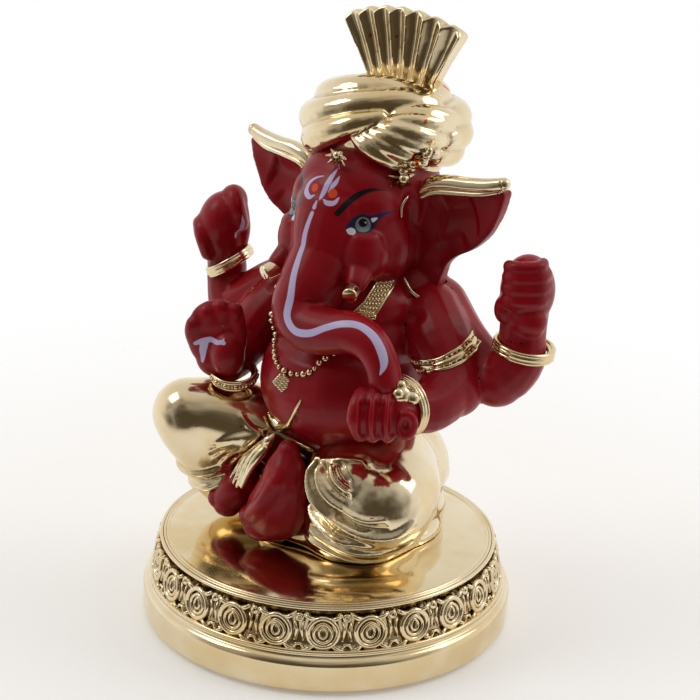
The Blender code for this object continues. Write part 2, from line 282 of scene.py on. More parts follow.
def curved(points, steps=4):
    # a smooth route through stations of any width, such as (x, y, z, radius)
    p = np.array(points, float)
    p = np.vstack([2 * p[0] - p[1], p, 2 * p[-1] - p[-2]])
    made = []
    for a, b, c, d in zip(p, p[1:], p[2:], p[3:]):
        for i in range(steps):
            t = i / steps
            bend = (2 * a - 5 * b + 4 * c - d) * t * t + (3 * b - a - 3 * c + d) * t**3
            made.append(0.5 * (2 * b + (c - a) * t + bend))
    return np.array(made + [p[-2]])


def sided(stations, side):
    # the same stations on the figure's left (1) or right (-1)
    return [(side * x, *rest) for x, *rest in stations]


def pair(centre, radii):
    # the same ball on the right and on the left
    return [(centre, radii) for centre in sided([centre], -1) + sided([centre], 1)]


def join(bm, one):
    # adds a small bmesh to a larger one, and frees it
    mesh = bpy.data.meshes.new("part")
    one.to_mesh(mesh)
    one.free()
    bm.from_mesh(mesh)
    bpy.data.meshes.remove(mesh)


ballFacets = ((0.8, 8), (2.5, 16), (far, 48))  # up to this radius in mm, this many facets round


def addBall(bm, centre, radii, turn=(0, 0, 0)):
    spin = Matrix.Identity(4)
    for angle, axis in zip(turn, "XYZ"):
        spin = Matrix.Rotation(math.radians(angle), 4, axis) @ spin
    size = Matrix.Diagonal((*[r * mm for r in radii], 1))
    place = Matrix.Translation(Vector(centre) * mm) @ spin @ size
    count = next(facets for limit, facets in ballFacets if max(radii) < limit)
    one = bmesh.new()
    bmesh.ops.create_uvsphere(one, u_segments=count, v_segments=count // 2, radius=1, matrix=place)
    join(bm, one)


def addTube(bm, stations, sides=14, blunt=False):
    # rings of vertices along (x, y, z, radius) stations, bridged, with round ends unless the last is blunt
    one = bmesh.new()
    loops = []
    points = [Vector(s[:3]) for s in stations]
    for i, station in enumerate(stations):
        ahead = points[min(i + 1, len(points) - 1)] - points[max(i - 1, 0)]
        turn = ahead.to_track_quat("Z", "Y").to_matrix().to_4x4()
        place = Matrix.Translation(points[i] * mm) @ turn
        ends = i in (0, len(stations) - 1)
        radius = station[3] * mm
        made = bmesh.ops.create_circle(one, cap_ends=ends, segments=sides, radius=radius, matrix=place)
        loops.append(set(made["verts"]))
    for both in zip(loops, loops[1:]):
        edges = {e for loop in both for v in loop for e in v.link_edges if e.other_vert(v) in loop}
        bmesh.ops.bridge_loops(one, edges=list(edges))
    join(bm, one)
    for end in (stations[0],) if blunt else (stations[0], stations[-1]):
        addBall(bm, end[:3], (end[3] * 0.98,) * 3)


def relax(piece, times):
    # softened all over
    smooth = piece.modifiers.new("smooth", "SMOOTH")
    smooth.iterations = times
    settle(piece)


def melted(name, bm, voxel, soften):
    # everything in the bmesh run together into one skin, then softened
    bmesh.ops.recalc_face_normals(bm, faces=bm.faces)
    piece = newPiece(name, bm)
    melt = piece.modifiers.new("melt", "REMESH")
    melt.mode = "VOXEL"
    melt.voxel_size = voxel * mm
    relax(piece, soften)
    return piece


def clay(name, balls, tubes, voxel, soften):
    # a casting's form put together from balls and tubes
    bm = bmesh.new()
    for one in balls:
        addBall(bm, *one)
    for stations in tubes:
        addTube(bm, curved(stations))
    return melted(name, bm, voxel, soften)


def coordinates(piece):
    # where its vertices are, in mm
    co = np.empty(len(piece.data.vertices) * 3, np.float32)
    piece.data.vertices.foreach_get("co", co)
    return co.reshape(-1, 3).astype(float) / mm


def normals(piece):
    no = np.empty(len(piece.data.vertices) * 3, np.float32)
    piece.data.vertex_normals.foreach_get("vector", no)
    return no.reshape(-1, 3).astype(float)


def moveTo(piece, co):
    piece.data.vertices.foreach_set("co", (co * mm).astype(np.float32).ravel())
    piece.data.update()


def toRoute(co, route):
    # distance from each point to a route, and how far along the route that is, from 0 to 1
    route = np.array(route, float)[:, :3]
    best = np.full(len(co), far)
    along = np.zeros(len(co))
    if len(route) == 1:
        return np.linalg.norm(co - route[0], axis=1), along
    for i, (a, b) in enumerate(zip(route, route[1:])):
        ab = b - a
        t = np.clip((co - a) @ ab / max(ab @ ab, 1e-9), 0, 1)
        d = np.linalg.norm(co - a - t[:, None] * ab, axis=1)
        near = d < best
        best[near] = d[near]
        along[near] = (i + t[near]) / (len(route) - 1)
    return best, along


def press(piece, strokes):
    # each stroke is (route, width, depth), and the way it pushes unless that is straight into the surface:
    # a groove where the depth is positive and a ridge where it is negative
    for route, width, depth, *way in strokes:
        co, no = coordinates(piece), normals(piece)
        away, along = toRoute(co, curved(route, 5) if 2 < len(route) < 9 else route)
        soft = np.clip(1 - (away / width) ** 2, 0, 1) ** 2
        fade = np.clip(np.minimum(along, 1 - along) * 5 + 0.35, 0, 1) if len(route) > 1 else 1.0
        push = -no if not way else np.array(way[0], float)[None, :]
        moveTo(piece, co + push * (soft * fade * depth)[:, None])


def addRecessShade(piece, gain):
    # how concave the surface is at each point, for the painted shade darkening its grooves
    co, no = coordinates(piece), normals(piece)
    ends = np.empty(len(piece.data.edges) * 2, np.int32)
    piece.data.edges.foreach_get("vertices", ends)
    a, b = ends[::2], ends[1::2]
    way = co[b] - co[a]
    size = np.maximum((way**2).sum(axis=1), 1e-6)
    count = np.maximum(np.bincount(ends, minlength=len(co)), 1)
    rise = np.bincount(a, (way * no[a]).sum(axis=1) / size, len(co))
    rise = (rise - np.bincount(b, (way * no[b]).sum(axis=1) / size, len(co))) / count
    for _ in range(4):
        spread = np.bincount(a, rise[b], len(co)) + np.bincount(b, rise[a], len(co))
        rise = 0.5 * rise + 0.5 * spread / count
    addField(piece, "hollow", np.clip(rise * gain, 0, 1) / mm)


def surfaceOf(*solids):
    # one search tree over the surfaces of all these
    bm = bmesh.new()
    for solid in solids:
        bm.from_mesh(solid.data)
    tree = BVHTree.FromBMesh(bm)
    bm.free()
    return tree


def finishPiece(piece, node, material):
    # its material, and the CAD node it stands for
    piece.data.materials.clear()
    piece.data.materials.append(material)
    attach(piece, "root")
    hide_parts(node)
    pieces[piece.name] = piece


def shareOut(whole, forms, material):
    # splits one blended casting into the pieces whose own forms lie nearest, and closes each cut
    co = coordinates(whole)
    reach = []
    for balls, tubes in forms.values():
        best = np.full(len(co), far)
        for centre, radii, *turn in balls:
            best = np.minimum(best, np.linalg.norm((co - centre) / radii, axis=1) * min(radii) - min(radii))
        for stations in tubes:
            line = curved(stations, 3)
            away, along = toRoute(co, line)
            radius = np.interp(along, np.linspace(0, 1, len(line)), line[:, 3])
            best = np.minimum(best, away - radius)
        reach.append(best)
    corners = np.empty(len(whole.data.loops), np.int32)
    starts = np.empty(len(whole.data.polygons), np.int32)
    whole.data.loops.foreach_get("vertex_index", corners)
    whole.data.polygons.foreach_get("loop_start", starts)
    owner = np.add.reduceat(np.array(reach)[:, corners], starts, axis=1).argmin(axis=0)
    no = normals(whole)
    for index, name in enumerate(forms):
        bm = bmesh.new()
        bm.from_mesh(whole.data)
        theirs = [f for f in bm.faces if owner[f.index] != index]
        tag = bm.verts.layers.int.new("from")
        for v in bm.verts:
            v[tag] = v.index
        bmesh.ops.delete(bm, geom=theirs, context="FACES")
        loose = [v for v in bm.verts if not v.link_faces]
        bmesh.ops.delete(bm, geom=loose, context="VERTS")
        keepMain(bm)
        rims = [e for e in bm.edges if e.is_boundary]
        bmesh.ops.holes_fill(bm, edges=rims, sides=0)
        caps = [f for f in bm.faces if len(f.verts) > 4]
        bmesh.ops.triangulate(bm, faces=caps)
        bm.verts.ensure_lookup_table()
        wasNormal = [no[v[tag]] for v in bm.verts]
        bm.verts.layers.int.remove(tag)
        piece = newPiece(name + ".cast", bm)
        piece.data.normals_split_custom_set_from_vertices(wasNormal)
        finishPiece(piece, name, material)
    bpy.data.objects.remove(whole)


def keepMain(bm):
    # only the body with the most faces stays
    seen, bodies = set(), []
    for first in bm.faces:
        if first in seen:
            continue
        body, queue = [], [first]
        seen.add(first)
        while queue:
            face = queue.pop()
            body.append(face)
            for edge in face.edges:
                for other in edge.link_faces:
                    if other not in seen:
                        seen.add(other)
                        queue.append(other)
        bodies.append(body)
    bodies.sort(key=len)
    bmesh.ops.delete(bm, geom=[f for body in bodies[:-1] for f in body], context="FACES")
    bmesh.ops.delete(bm, geom=[v for v in bm.verts if not v.link_faces], context="VERTS")


# Hands are laid out in their own directions: across, towards the palm's viewer, and up

across = Vector((0.82, 0.57, 0))
towards = Vector((0.57, -0.82, 0))
upward = Vector((0, 0, 1))
offeringPlace = (16.8, -10.2, 39.6)


def handSpot(centre, a, t, u):
    return (*(Vector(centre) + across * a + towards * t + upward * u),)


def inHand(centre, a, t, u, radius):
    return (*handSpot(centre, a, t, u), radius)


def fistLeft():
    c = (27.2, 7.8, 55.2)
    balls = [
        ((27.4, 8.0, 55.4), (3.9, 4.0, 5.2), (0, 0, 35)),
        (handSpot(c, -2.9, 1.0, -2.3), (1.5, 1.6, 2.2)),
        (handSpot(c, 0.2, 1.6, -3.6), (3.2, 2.4, 2.6)),
    ]
    tubes = [[(27.2, 7.7, 46.6, 3.6), (27.2, 7.8, 49.0, 3.4), (27.2, 7.9, 52.0, 3.5)]]
    for lift, size, reach in ((4.45, 0.95, 2.0), (2.95, 1.05, 2.5), (1.3, 1.1, 2.6), (-0.4, 1.1, 2.5)):
        knuckle = inHand(c, reach, 1.6, lift + 0.25, size)
        middle = inHand(c, reach * 0.6, 3.0, lift + 0.1, size)
        tip = inHand(c, -1.4, 3.1, lift, size)
        tubes.append([knuckle, middle, tip, inHand(c, -2.7, 2.0, lift - 0.15, size)])
    return balls, tubes


def fistRight():
    c = (-26.9, 7.2, 55.0)
    balls = [
        ((-27.0, 7.0, 54.8), (3.6, 3.9, 4.6), (0, 14, 35)),
        (handSpot(c, 1.6, 0.4, 3.0), (2.2, 2.2, 2.6)),
        (handSpot(c, -2.4, 0.6, -1.6), (2.2, 2.2, 3.0)),
    ]
    tubes = [[(-26.3, 7.6, 47.0, 3.1), (-26.5, 7.4, 50.0, 3.1), (-26.8, 7.2, 53.0, 3.4)]]
    for i in range(4):
        t = i / 3
        a, u = 1.7 - 5.1 * t, 4.6 - 5.1 * t
        size = 1.35 - 0.1 * t
        finger = [
            inHand(c, a - 0.2, -0.8, u - 0.7, size),
            inHand(c, a, 1.0, u - 0.3, size),
            inHand(c, a + 0.5, 2.4, u - 2.0, size),
            inHand(c, a + 1.2, 2.2, u - 4.6, size * 0.9),
        ]
        tubes.append(finger)
    thumb = [
        inHand(c, 2.3, 0.2, -4.8, 1.4),
        inHand(c, 3.0, 0.5, -1.4, 1.3),
        inHand(c, 2.8, 0.7, 1.8, 1.2),
    ]
    tubes.append(thumb)
    return balls, tubes


def blessingHand():
    c = (-16.8, -6.8, 41.0)
    balls = [
        ((-16.8, -6.4, 41.6), (4.5, 2.0, 5.0), (0, 0, 35)),
        ((-16.6, -6.0, 38.2), (3.6, 2.6, 3.0), (0, 0, 35)),
        ((-14.6, -6.6, 39.6), (2.6, 2.4, 3.6), (0, 0, 35)),
        (handSpot(c, 0.3, 0.2, 3.2), (4.2, 1.5, 3.6), (0, 0, 35)),
    ]
    tubes = []
    for a, top, size in ((-3.3, 2.9, 1.35), (-1.3, 4.9, 1.4), (0.8, 5.7, 1.4), (2.9, 5.3, 1.35)):
        finger = [
            inHand(c, a * 0.9, -0.3, 0.0, size),
            inHand(c, a, 0.15, top * 0.55, size * 1.04),
            inHand(c, a * 0.98, 0.5, top, size * 0.95),
        ]
        tubes.append(finger)
    thumb = [
        inHand(c, 2.8, 0.8, -1.8, 1.5),
        inHand(c, 3.7, 1.0, 1.2, 1.15),
        inHand(c, 3.6, 1.0, 3.4, 0.95),
    ]
    tubes.append(thumb)
    return balls, tubes


def offeringHand():
    c = offeringPlace
    balls = [
        ((17.0, -9.5, 39.8), (4.6, 3.3, 3.7), (0, 0, 35)),
        (handSpot(c, -2.4, 0.3, -0.2), (2.7, 1.9, 3.0), (0, 0, 35)),
    ]
    tubes = []
    for a, size, bow in ((-4.3, 1.15, 0.7), (-2.2, 1.2, 0.4), (-0.1, 1.15, 0.3)):
        finger = [
            inHand(c, a + bow, 0.6, 3.0, size),
            inHand(c, a, 2.3, 2.0, size),
            inHand(c, a - 0.25, 2.9, -0.2, size),
            inHand(c, a + bow, 2.0, -2.6, size * 0.95),
        ]
        tubes.append(finger)
    ring = []
    for i in range(9):
        angle = math.tau * i / 8
        ring.append(inHand(c, 2.5 + 1.15 * math.cos(angle), 2.5, -0.6 + 1.6 * math.sin(angle), 0.75))
    return balls, tubes + [ring]


# the clay of each casting: balls as (centre, radii), then tubes of (x, y, z, radius) stations
bodyForms = {
    "torso": (
        [
            ((0, 2.4, 36.4), (12.6, 11.6, 11.0)),
            ((0, 7.0, 46.0), (11.8, 8.4, 8.0)),
            ((0, 12.0, 40.0), (12.2, 8.4, 13.5)),
            ((0, 10.5, 38.0), (12.9, 9.8, 12.0)),
            *pair((10.0, 9.5, 48.6), (5.2, 5.4, 4.8)),
            *pair((8.2, 9.0, 51.6), (4.6, 5.0, 4.0)),
            ((0, 7.5, 53.0), (7.2, 7.0, 5.0)),
            ((0, 3.5, 49.5), (11.3, 8.8, 6.3)),
            *pair((4.5, 3.0, 45.0), (7.4, 7.4, 6.0)),
            ((0, 15.0, 47.0), (10.0, 5.6, 7.0)),
        ],
        [],
    ),
    "upper_arm_left": (
        [((24.0, 6.6, 41.2), (4.2, 4.0, 3.7))],
        [[
            (11.0, 10.0, 48.4, 5.0), (17.4, 8.2, 44.6, 4.0), (23.8, 6.8, 41.6, 3.9),
            (26.8, 7.4, 44.4, 3.8), (27.2, 7.7, 47.6, 3.5),
        ]],
    ),
    "upper_arm_right": (
        [((-23.8, 6.4, 41.0), (4.1, 4.0, 3.8))],
        [[
            (-11.0, 10.2, 48.6, 5.0), (-18.0, 8.2, 45.2, 4.4), (-23.6, 6.7, 41.6, 4.0),
            (-26.0, 7.4, 45.0, 3.3), (-26.4, 7.6, 48.0, 3.0),
        ]],
    ),
    "lower_arm_left": (
        [((20.0, 1.8, 40.2), (4.2, 4.3, 3.9))],
        [[
            (11.8, 7.2, 48.6, 4.8), (15.6, 4.8, 45.6, 4.9), (19.2, 2.4, 41.6, 4.3),
            (19.4, -3.0, 39.2, 3.8), (17.6, -7.4, 39.6, 3.3),
        ]],
    ),
    "lower_arm_right": (
        [((-17.2, 1.8, 39.2), (4.2, 4.2, 4.0))],
        [[
            (-11.5, 7.6, 47.6, 4.6), (-15.0, 4.6, 43.6, 4.4), (-17.4, 1.6, 39.4, 4.2),
            (-16.8, -2.4, 37.6, 3.6), (-16.3, -5.0, 37.4, 3.2),
        ]],
    ),
    "fist_left": fistLeft(),
    "fist_right": fistRight(),
    "blessing_hand": blessingHand(),
    "offering_hand": offeringHand(),
}

palmMark = {
    "bar": [(-18.9, -8.8, 41.2, 0.3), (-16.6, -9.2, 41.9, 0.42), (-13.6, -9.4, 42.6, 0.3)],
    "stem": [(-17.2, -9.0, 41.3, 0.6), (-17.5, -9.0, 40.0, 0.55), (-17.6, -8.8, 38.4, 0.3)],
    "tick": [(-13.5, -9.2, 44.2, 0.1), (-14.0, -9.2, 43.3, 0.16)],
}
fistMark = [(-21.6, 6.0, 56.6, 0.1), (-21.9, 6.0, 54.8, 0.35), (-22.8, 6.0, 52.8, 0.2)]


def allForms(forms):
    balls = [b for one in forms.values() for b in one[0]]
    tubes = [t for one in forms.values() for t in one[1]]
    return balls, tubes


def addField(piece, name, values):
    # a distance in metres kept at each vertex, which the finish reads
    layer = piece.data.attributes.new(name, "FLOAT", "POINT")
    layer.data.foreach_set("value", (np.asarray(values) * mm).astype(np.float32))


# pressed into the skin: (route, width, depth)
bodyStrokes = [
    ([(0, -9.4, 40.6), (0, -9.6, 36.0)], 4.5, 0.25),  # the belly's soft middle
    ([(-7.5, -3.5, 44.8), (0, -6.0, 43.0), (7.5, -3.5, 44.8)], 2.4, 0.55),  # under the chest
    ([(-7, -6.6, 31.2), (0, -8.2, 29.6), (7, -6.6, 31.2)], 2.0, 0.3),  # lower belly crease
    ([(12.4, 1.2, 50.2), (15.2, 6.0, 45.4), (18.4, 7.4, 41.0)], 1.8, 0.9),  # between the left arms
    ([(-12.4, 1.2, 50.2), (-15.2, 6.0, 45.4), (-18.4, 7.4, 41.0)], 1.8, 0.9),
    ([(0, 23.0, 50.0), (0, 22.6, 40.0), (0, 20.6, 32.0)], 2.6, 0.7),  # the spine
    ([(0, -9.2, 33.6)], 0.9, 0.5),  # navel
]
# between the offering hand's fingers, laid out in the hand's own directions
fingerGaps = {
    "across": (-3.25, -1.15, 0.9),
    "line": ((2.4, 3.2), (3.4, 1.2), (3.4, -1.2), (2.6, -3.0)),
    "width": 1.1,
    "depth": 0.75,
}


def makeBody():
    balls, tubes = allForms(bodyForms)
    body = clay("body", balls, tubes, voxel=0.3, soften=5)
    press(body, bodyStrokes)
    co, tree = coordinates(body), surfaceOf(body)
    addField(body, "palmPaint", brush(co, tree, *palmMark.values(), fistMark))
    skin = redGloss("bodyPaint", [("palmPaint", marks["lilac"], 0.05)])
    print("body cast", len(body.data.polygons))
    for a in fingerGaps["across"]:
        gap = [handSpot(offeringPlace, a, t, u) for t, u in fingerGaps["line"]]
        press(body, [(gap, fingerGaps["width"], fingerGaps["depth"])])
    shareOut(body, bodyForms, skin)


# Head, trunk and ears

earOutline = [
    (7.6, 66.0), (10.4, 66.6), (13.0, 67.0), (16.0, 67.2), (19.0, 67.6), (22.3, 68.6), (22.4, 67.0),
    (21.6, 64.4), (20.2, 61.6), (18.0, 59.3), (15.6, 57.9), (13.9, 56.2), (13.2, 53.6),
    (12.3, 51.4), (10.6, 51.4), (9.0, 53.6), (7.6, 57.0),
]
# what the cut between ear and head follows
earReach = [
    [(10.4, 7.2, 64.0, 3.0), (20.0, 8.2, 66.0, 3.0)],
    [(10.4, 7.2, 54.0, 2.0), (16.0, 7.6, 61.0, 3.6)],
]
headForms = {
    "head": (
        [
            ((0, 8.0, 65.0), (10.3, 10.4, 9.8)),
            ((0, 3.0, 66.9), (7.9, 6.3, 5.5)),
            ((0, -0.6, 63.6), (6.2, 5.2, 5.0)),
            *pair((4.6, 2.8, 63.6), (4.3, 5.6, 6.0)),
            *pair((5.8, 3.6, 58.8), (4.4, 6.0, 6.2)),
            *pair((4.9, -0.9, 58.4), (4.3, 3.9, 4.8)),
        ],
        [
            [(0, 1.6, 65.0, 6.4), (0, -0.8, 61.0, 6.0), (0, -2.0, 57.6, 5.4)],
            [(4.6, 0.0, 58.6, 3.0), (5.8, -2.2, 56.9, 2.4), (6.9, -4.8, 55.1, 1.6)],
            [(-4.6, 0.0, 58.6, 3.0), (-5.8, -2.2, 56.9, 2.4), (-6.9, -4.8, 55.1, 1.6)],
        ],
    ),
    "trunk": (
        [],
        [[
            (0, -3.0, 56.6, 5.1), (-0.3, -5.4, 53.2, 4.9), (-0.5, -7.3, 50.2, 4.5),
            (2.0, -8.7, 48.5, 3.8), (6.2, -9.4, 48.9, 3.3), (10.0, -9.6, 49.7, 2.95),
            (13.3, -9.7, 48.8, 2.65), (15.3, -9.9, 46.5, 2.45), (16.2, -10.1, 44.0, 2.35),
        ]],
    ),
    "ear_left": ([], earReach),
    "ear_right": ([], [sided(stations, -1) for stations in earReach]),
}
# pressed into one side of the face and mirrored: (route, width, depth), then the way unless it is inward
backward = (0, 1, 0)
faceStrokes = [
    ([(12.6, 6.8, 63.4), (15.4, 7.0, 63.8), (18.4, 7.4, 64.8)], 4.2, 1.5, backward),  # the ear's cup
    ([(12.2, 6.6, 55.0), (14.2, 6.8, 58.6), (17.0, 7.2, 61.0)], 2.4, 0.7, backward),
    ([(11.2, 6.2, 65.6), (13.6, 6.4, 62.0), (13.2, 6.4, 57.0)], 1.3, -0.5, backward),  # inner fold
    ([(9.6, 4.0, 66.0), (10.0, 5.0, 60.0), (9.6, 4.6, 54.0)], 1.6, 0.9),  # the ear's root
    ([(4.6, -4.6, 64.8), (6.6, -3.6, 65.2), (8.8, -1.4, 65.0)], 2.0, 0.35),  # eye hollow
    ([(4.4, -5.4, 66.4), (6.8, -3.9, 67.4), (9.4, -0.6, 67.2)], 1.3, -0.3),  # brow
    ([(5.6, -4.6, 61.6), (7.6, -3.0, 61.4), (9.4, -0.4, 62.0)], 1.3, -0.22),  # under the eye
    ([(5.0, -2.4, 53.2), (7.6, -1.6, 53.6), (9.6, 0.8, 54.6)], 1.6, 0.7),  # under the cheek
    ([(2.0, -3.4, 71.4), (5.6, -1.4, 70.8), (9.0, 2.6, 69.2)], 0.9, -0.45),  # folds at the turban
    ([(1.4, -4.4, 70.2), (3.4, -4.0, 70.6), (5.6, -2.6, 69.8)], 0.7, -0.3),
]
earShape = {"front": 6.3, "back": 8.7, "sweep": 1.4}


def addEar(bm, side):
    # the outline as a slab, bowed back towards its tip
    outline = curved([(side * x, 0, z) for x, z in [*earOutline, earOutline[0]]], 3)
    ring = [bm.verts.new(Vector((x, earShape["front"], z)) * mm) for x, _, z in outline[:-1]]
    body = bmesh.ops.extrude_face_region(bm, geom=[bm.faces.new(ring)])
    back = [v for v in body["geom"] if isinstance(v, bmesh.types.BMVert)]
    bmesh.ops.translate(bm, verts=back, vec=Vector((0, earShape["back"] - earShape["front"], 0)) * mm)
    for v in ring + back:
        v.co.y += earShape["sweep"] * mm * (abs(v.co.x) / mm / 20) ** 2


def makeHead():
    balls, tubes = allForms({k: headForms[k] for k in ("head", "trunk")})
    bm = bmesh.new()
    for one in balls:
        addBall(bm, *one)
    for stations in tubes:
        addTube(bm, curved(stations, 4), sides=24)
    for side in (-1, 1):
        addEar(bm, side)
    head = melted("head", bm, 0.25, 9)
    for side in (-1, 1):
        press(head, [(sided(route, side), *rest) for route, *rest in faceStrokes])
    paintHead(head)
    print("head cast", len(head.data.polygons))
    shareOut(head, headForms, redGloss("headPaint", paintLayers))


# the head's painted marks, undermost first: (field, paint, softness of its edge in mm)
paintLayers = [
    ("browPaint", marks["black"], 0.07),
    ("eyeDark", marks["blue"], 0.07),
    ("eyeWhite", marks["white"], 0.06),
    ("irisRim", marks["black"], 0.06),
    ("iris", marks["grey"], 0.08),
    ("pupil", marks["black"], 0.10),
    ("glint", marks["white"], 0.05),
    ("leafPaint", marks["lilac"], 0.05),
    ("dotPaint", marks["orange"], 0.07),
    ("trunkPaint", marks["lilac"], 0.06),
]
# painted strokes, as (x, y, z, half width) stations that are brought onto the surface
eye = {
    "almond": [
        (4.5, -4.3, 62.4, 0.2), (5.0, -3.9, 62.7, 0.7), (5.8, -3.0, 63.0, 1.35),
        (6.7, -2.1, 63.3, 1.35), (7.4, -1.3, 63.9, 0.6), (7.9, -0.4, 64.4, 0.3),
        (8.4, 1.0, 64.6, 0.16), (8.6, 1.9, 64.5, 0.04),
    ],
    "whiteInner": [(4.5, -4.2, 62.3, 0.1), (4.85, -4.0, 62.2, 0.46), (5.2, -3.7, 62.1, 0.5)],
    "whiteOuter": [(7.2, -1.6, 63.7, 0.32), (7.6, -1.0, 64.0, 0.1)],
    "iris": (6.2, -2.6, 63.0),
    "rimRadius": 1.34,
    "irisRadius": 1.12,
    "pupilRise": 0.28,
    "pupilRadius": 0.64,
    "glint": (6.5, -2.4, 63.3),
    "glintRadius": 0.16,
    "brow": [
        (3.3, -4.8, 64.6, 0.4), (4.2, -3.3, 66.2, 0.46), (5.1, -1.9, 67.2, 0.4),
        (6.1, -0.8, 67.7, 0.26), (7.3, 0.8, 67.6, 0.08),
    ],
}
foreheadMark = {
    "leaf": [
        (1.1, -1.9, 70.2, 0.06), (0.75, -3.1, 68.6, 0.40), (0.5, -4.5, 66.9, 0.34),
        (0.3, -5.0, 66.1, 0.12),
    ],
    "sliver": [(1.9, -2.6, 69.3, 0.08), (1.7, -3.4, 68.3, 0.34), (1.25, -4.3, 67.2, 0.10)],
    "leftPetal": [
        (-0.3, -3.0, 68.9, 0.06), (-1.6, -3.2, 68.5, 0.2), (-2.7, -3.5, 67.6, 0.34),
        (-2.8, -4.0, 66.6, 0.44), (-1.6, -4.8, 66.0, 0.34), (-0.8, -4.8, 66.5, 0.1),
    ],
    "rightPetal": [
        (0.9, -4.9, 66.2, 0.1), (1.6, -4.9, 65.8, 0.36), (2.5, -4.5, 65.9, 0.34),
        (2.9, -4.0, 66.7, 0.1),
    ],
    "drop": [(-0.05, -5.2, 65.8, 0.16), (-0.2, -5.6, 65.0, 0.34)],
}
foreheadDots = [((-1.2, -4.2, 67.4), 0.62), ((1.9, -4.1, 67.1), 0.68)]
trunkLine = [
    (-0.3, -5.9, 64.2, 0.32), (-0.9, -6.9, 60.0, 0.44), (-0.7, -9.1, 56.5, 0.52),
    (-0.1, -10.7, 53.2, 0.56), (0.2, -11.9, 50.4, 0.60), (2.0, -12.5, 48.9, 0.58),
    (4.7, -12.6, 49.2, 0.52), (7.3, -12.3, 50.6, 0.50), (9.9, -11.7, 51.6, 0.54),
    (12.4, -11.2, 51.8, 0.56), (14.6, -11.0, 50.6, 0.62), (16.2, -11.2, 48.6, 0.66),
    (16.8, -11.6, 47.2, 0.5), (16.6, -12.2, 45.8, 0.06),
]


def onSurface(tree, route, steps=5):
    # a smooth route with each of its points brought to the nearest place on the surface
    line = curved(route, steps) if len(route) > 2 else np.array(route, float)
    for point in line:
        point[:3] = tree.find_nearest(Vector(point[:3]) * mm)[0] / mm
    return line


def brush(co, tree, *routes):
    # negative inside any of the strokes
    best = np.full(len(co), far)
    for route in routes:
        line = onSurface(tree, route)
        away, along = toRoute(co, line)
        best = np.minimum(best, away - np.interp(along, np.linspace(0, 1, len(line)), line[:, 3]))
    return best


def dab(co, tree, centre, radius):
    # negative inside a round dot
    spot = tree.find_nearest(Vector(centre) * mm)[0] / mm
    return np.linalg.norm(co - np.array(spot), axis=1) - radius


def paintHead(head):
    # what is measured on half of the head shows on both of its sides
    co = coordinates(head)
    half = co.copy()
    half[:, 0] = np.abs(half[:, 0])
    tree = surfaceOf(head)
    pupil = (Vector(eye["iris"]) + Vector((0, 0, eye["pupilRise"])))[:]
    addField(head, "eyeDark", brush(half, tree, eye["almond"]))
    addField(head, "eyeWhite", brush(half, tree, eye["whiteInner"], eye["whiteOuter"]))
    addField(head, "irisRim", dab(half, tree, eye["iris"], eye["rimRadius"]))
    addField(head, "iris", dab(half, tree, eye["iris"], eye["irisRadius"]))
    addField(head, "pupil", dab(half, tree, pupil, eye["pupilRadius"]))
    addField(head, "glint", dab(half, tree, eye["glint"], eye["glintRadius"]))
    addField(head, "browPaint", brush(half, tree, eye["brow"]))
    addField(head, "leafPaint", brush(co, tree, *foreheadMark.values()))
    addField(head, "dotPaint", np.minimum(*[dab(co, tree, *dot) for dot in foreheadDots]))
    addField(head, "trunkPaint", brush(co, tree, trunkLine))


# Feet

footForms = {
    "left_foot": [
        (-0.8, -9.4, 28.6, 1.8), (-0.9, -9.8, 26.2, 3.0), (-1.1, -9.8, 23.4, 3.8),
        (-2.0, -9.4, 20.2, 4.6), (-2.9, -9.0, 18.4, 4.7),
    ],
    "right_foot": [(-9.8, -7.6, 20.4, 2.2), (-10.9, -8.2, 19.6, 2.8), (-12.2, -8.6, 17.6, 2.6)],
}
footTips = {
    "left_foot": [((-6.4, -10.6, 17.0), (2.1, 2.0, 1.8)), ((-4.4, -10.8, 15.6), (3.0, 2.4, 1.8))],
    "right_foot": [((-14.0, -9.2, 17.2), (1.7, 1.7, 1.7)), ((-12.2, -9.4, 16.2), (2.2, 1.8, 1.4))],
}

shinRidge = ([(0.4, -13.2, 26.8), (-2.2, -14.2, 21.6), (-6.4, -12.8, 17.0)], 1.9, -0.7)


def makeFeet():
    skin = redGloss("footPaint")
    for name, stations in footForms.items():
        foot = clay(name + ".cast", footTips[name], [stations], voxel=0.25, soften=5)
        if name == "left_foot":
            route, width, depth = shinRidge
            press(foot, [(onSurface(surfaceOf(foot), route), width, depth)])
        finishPiece(foot, name, skin)


# Pedestal

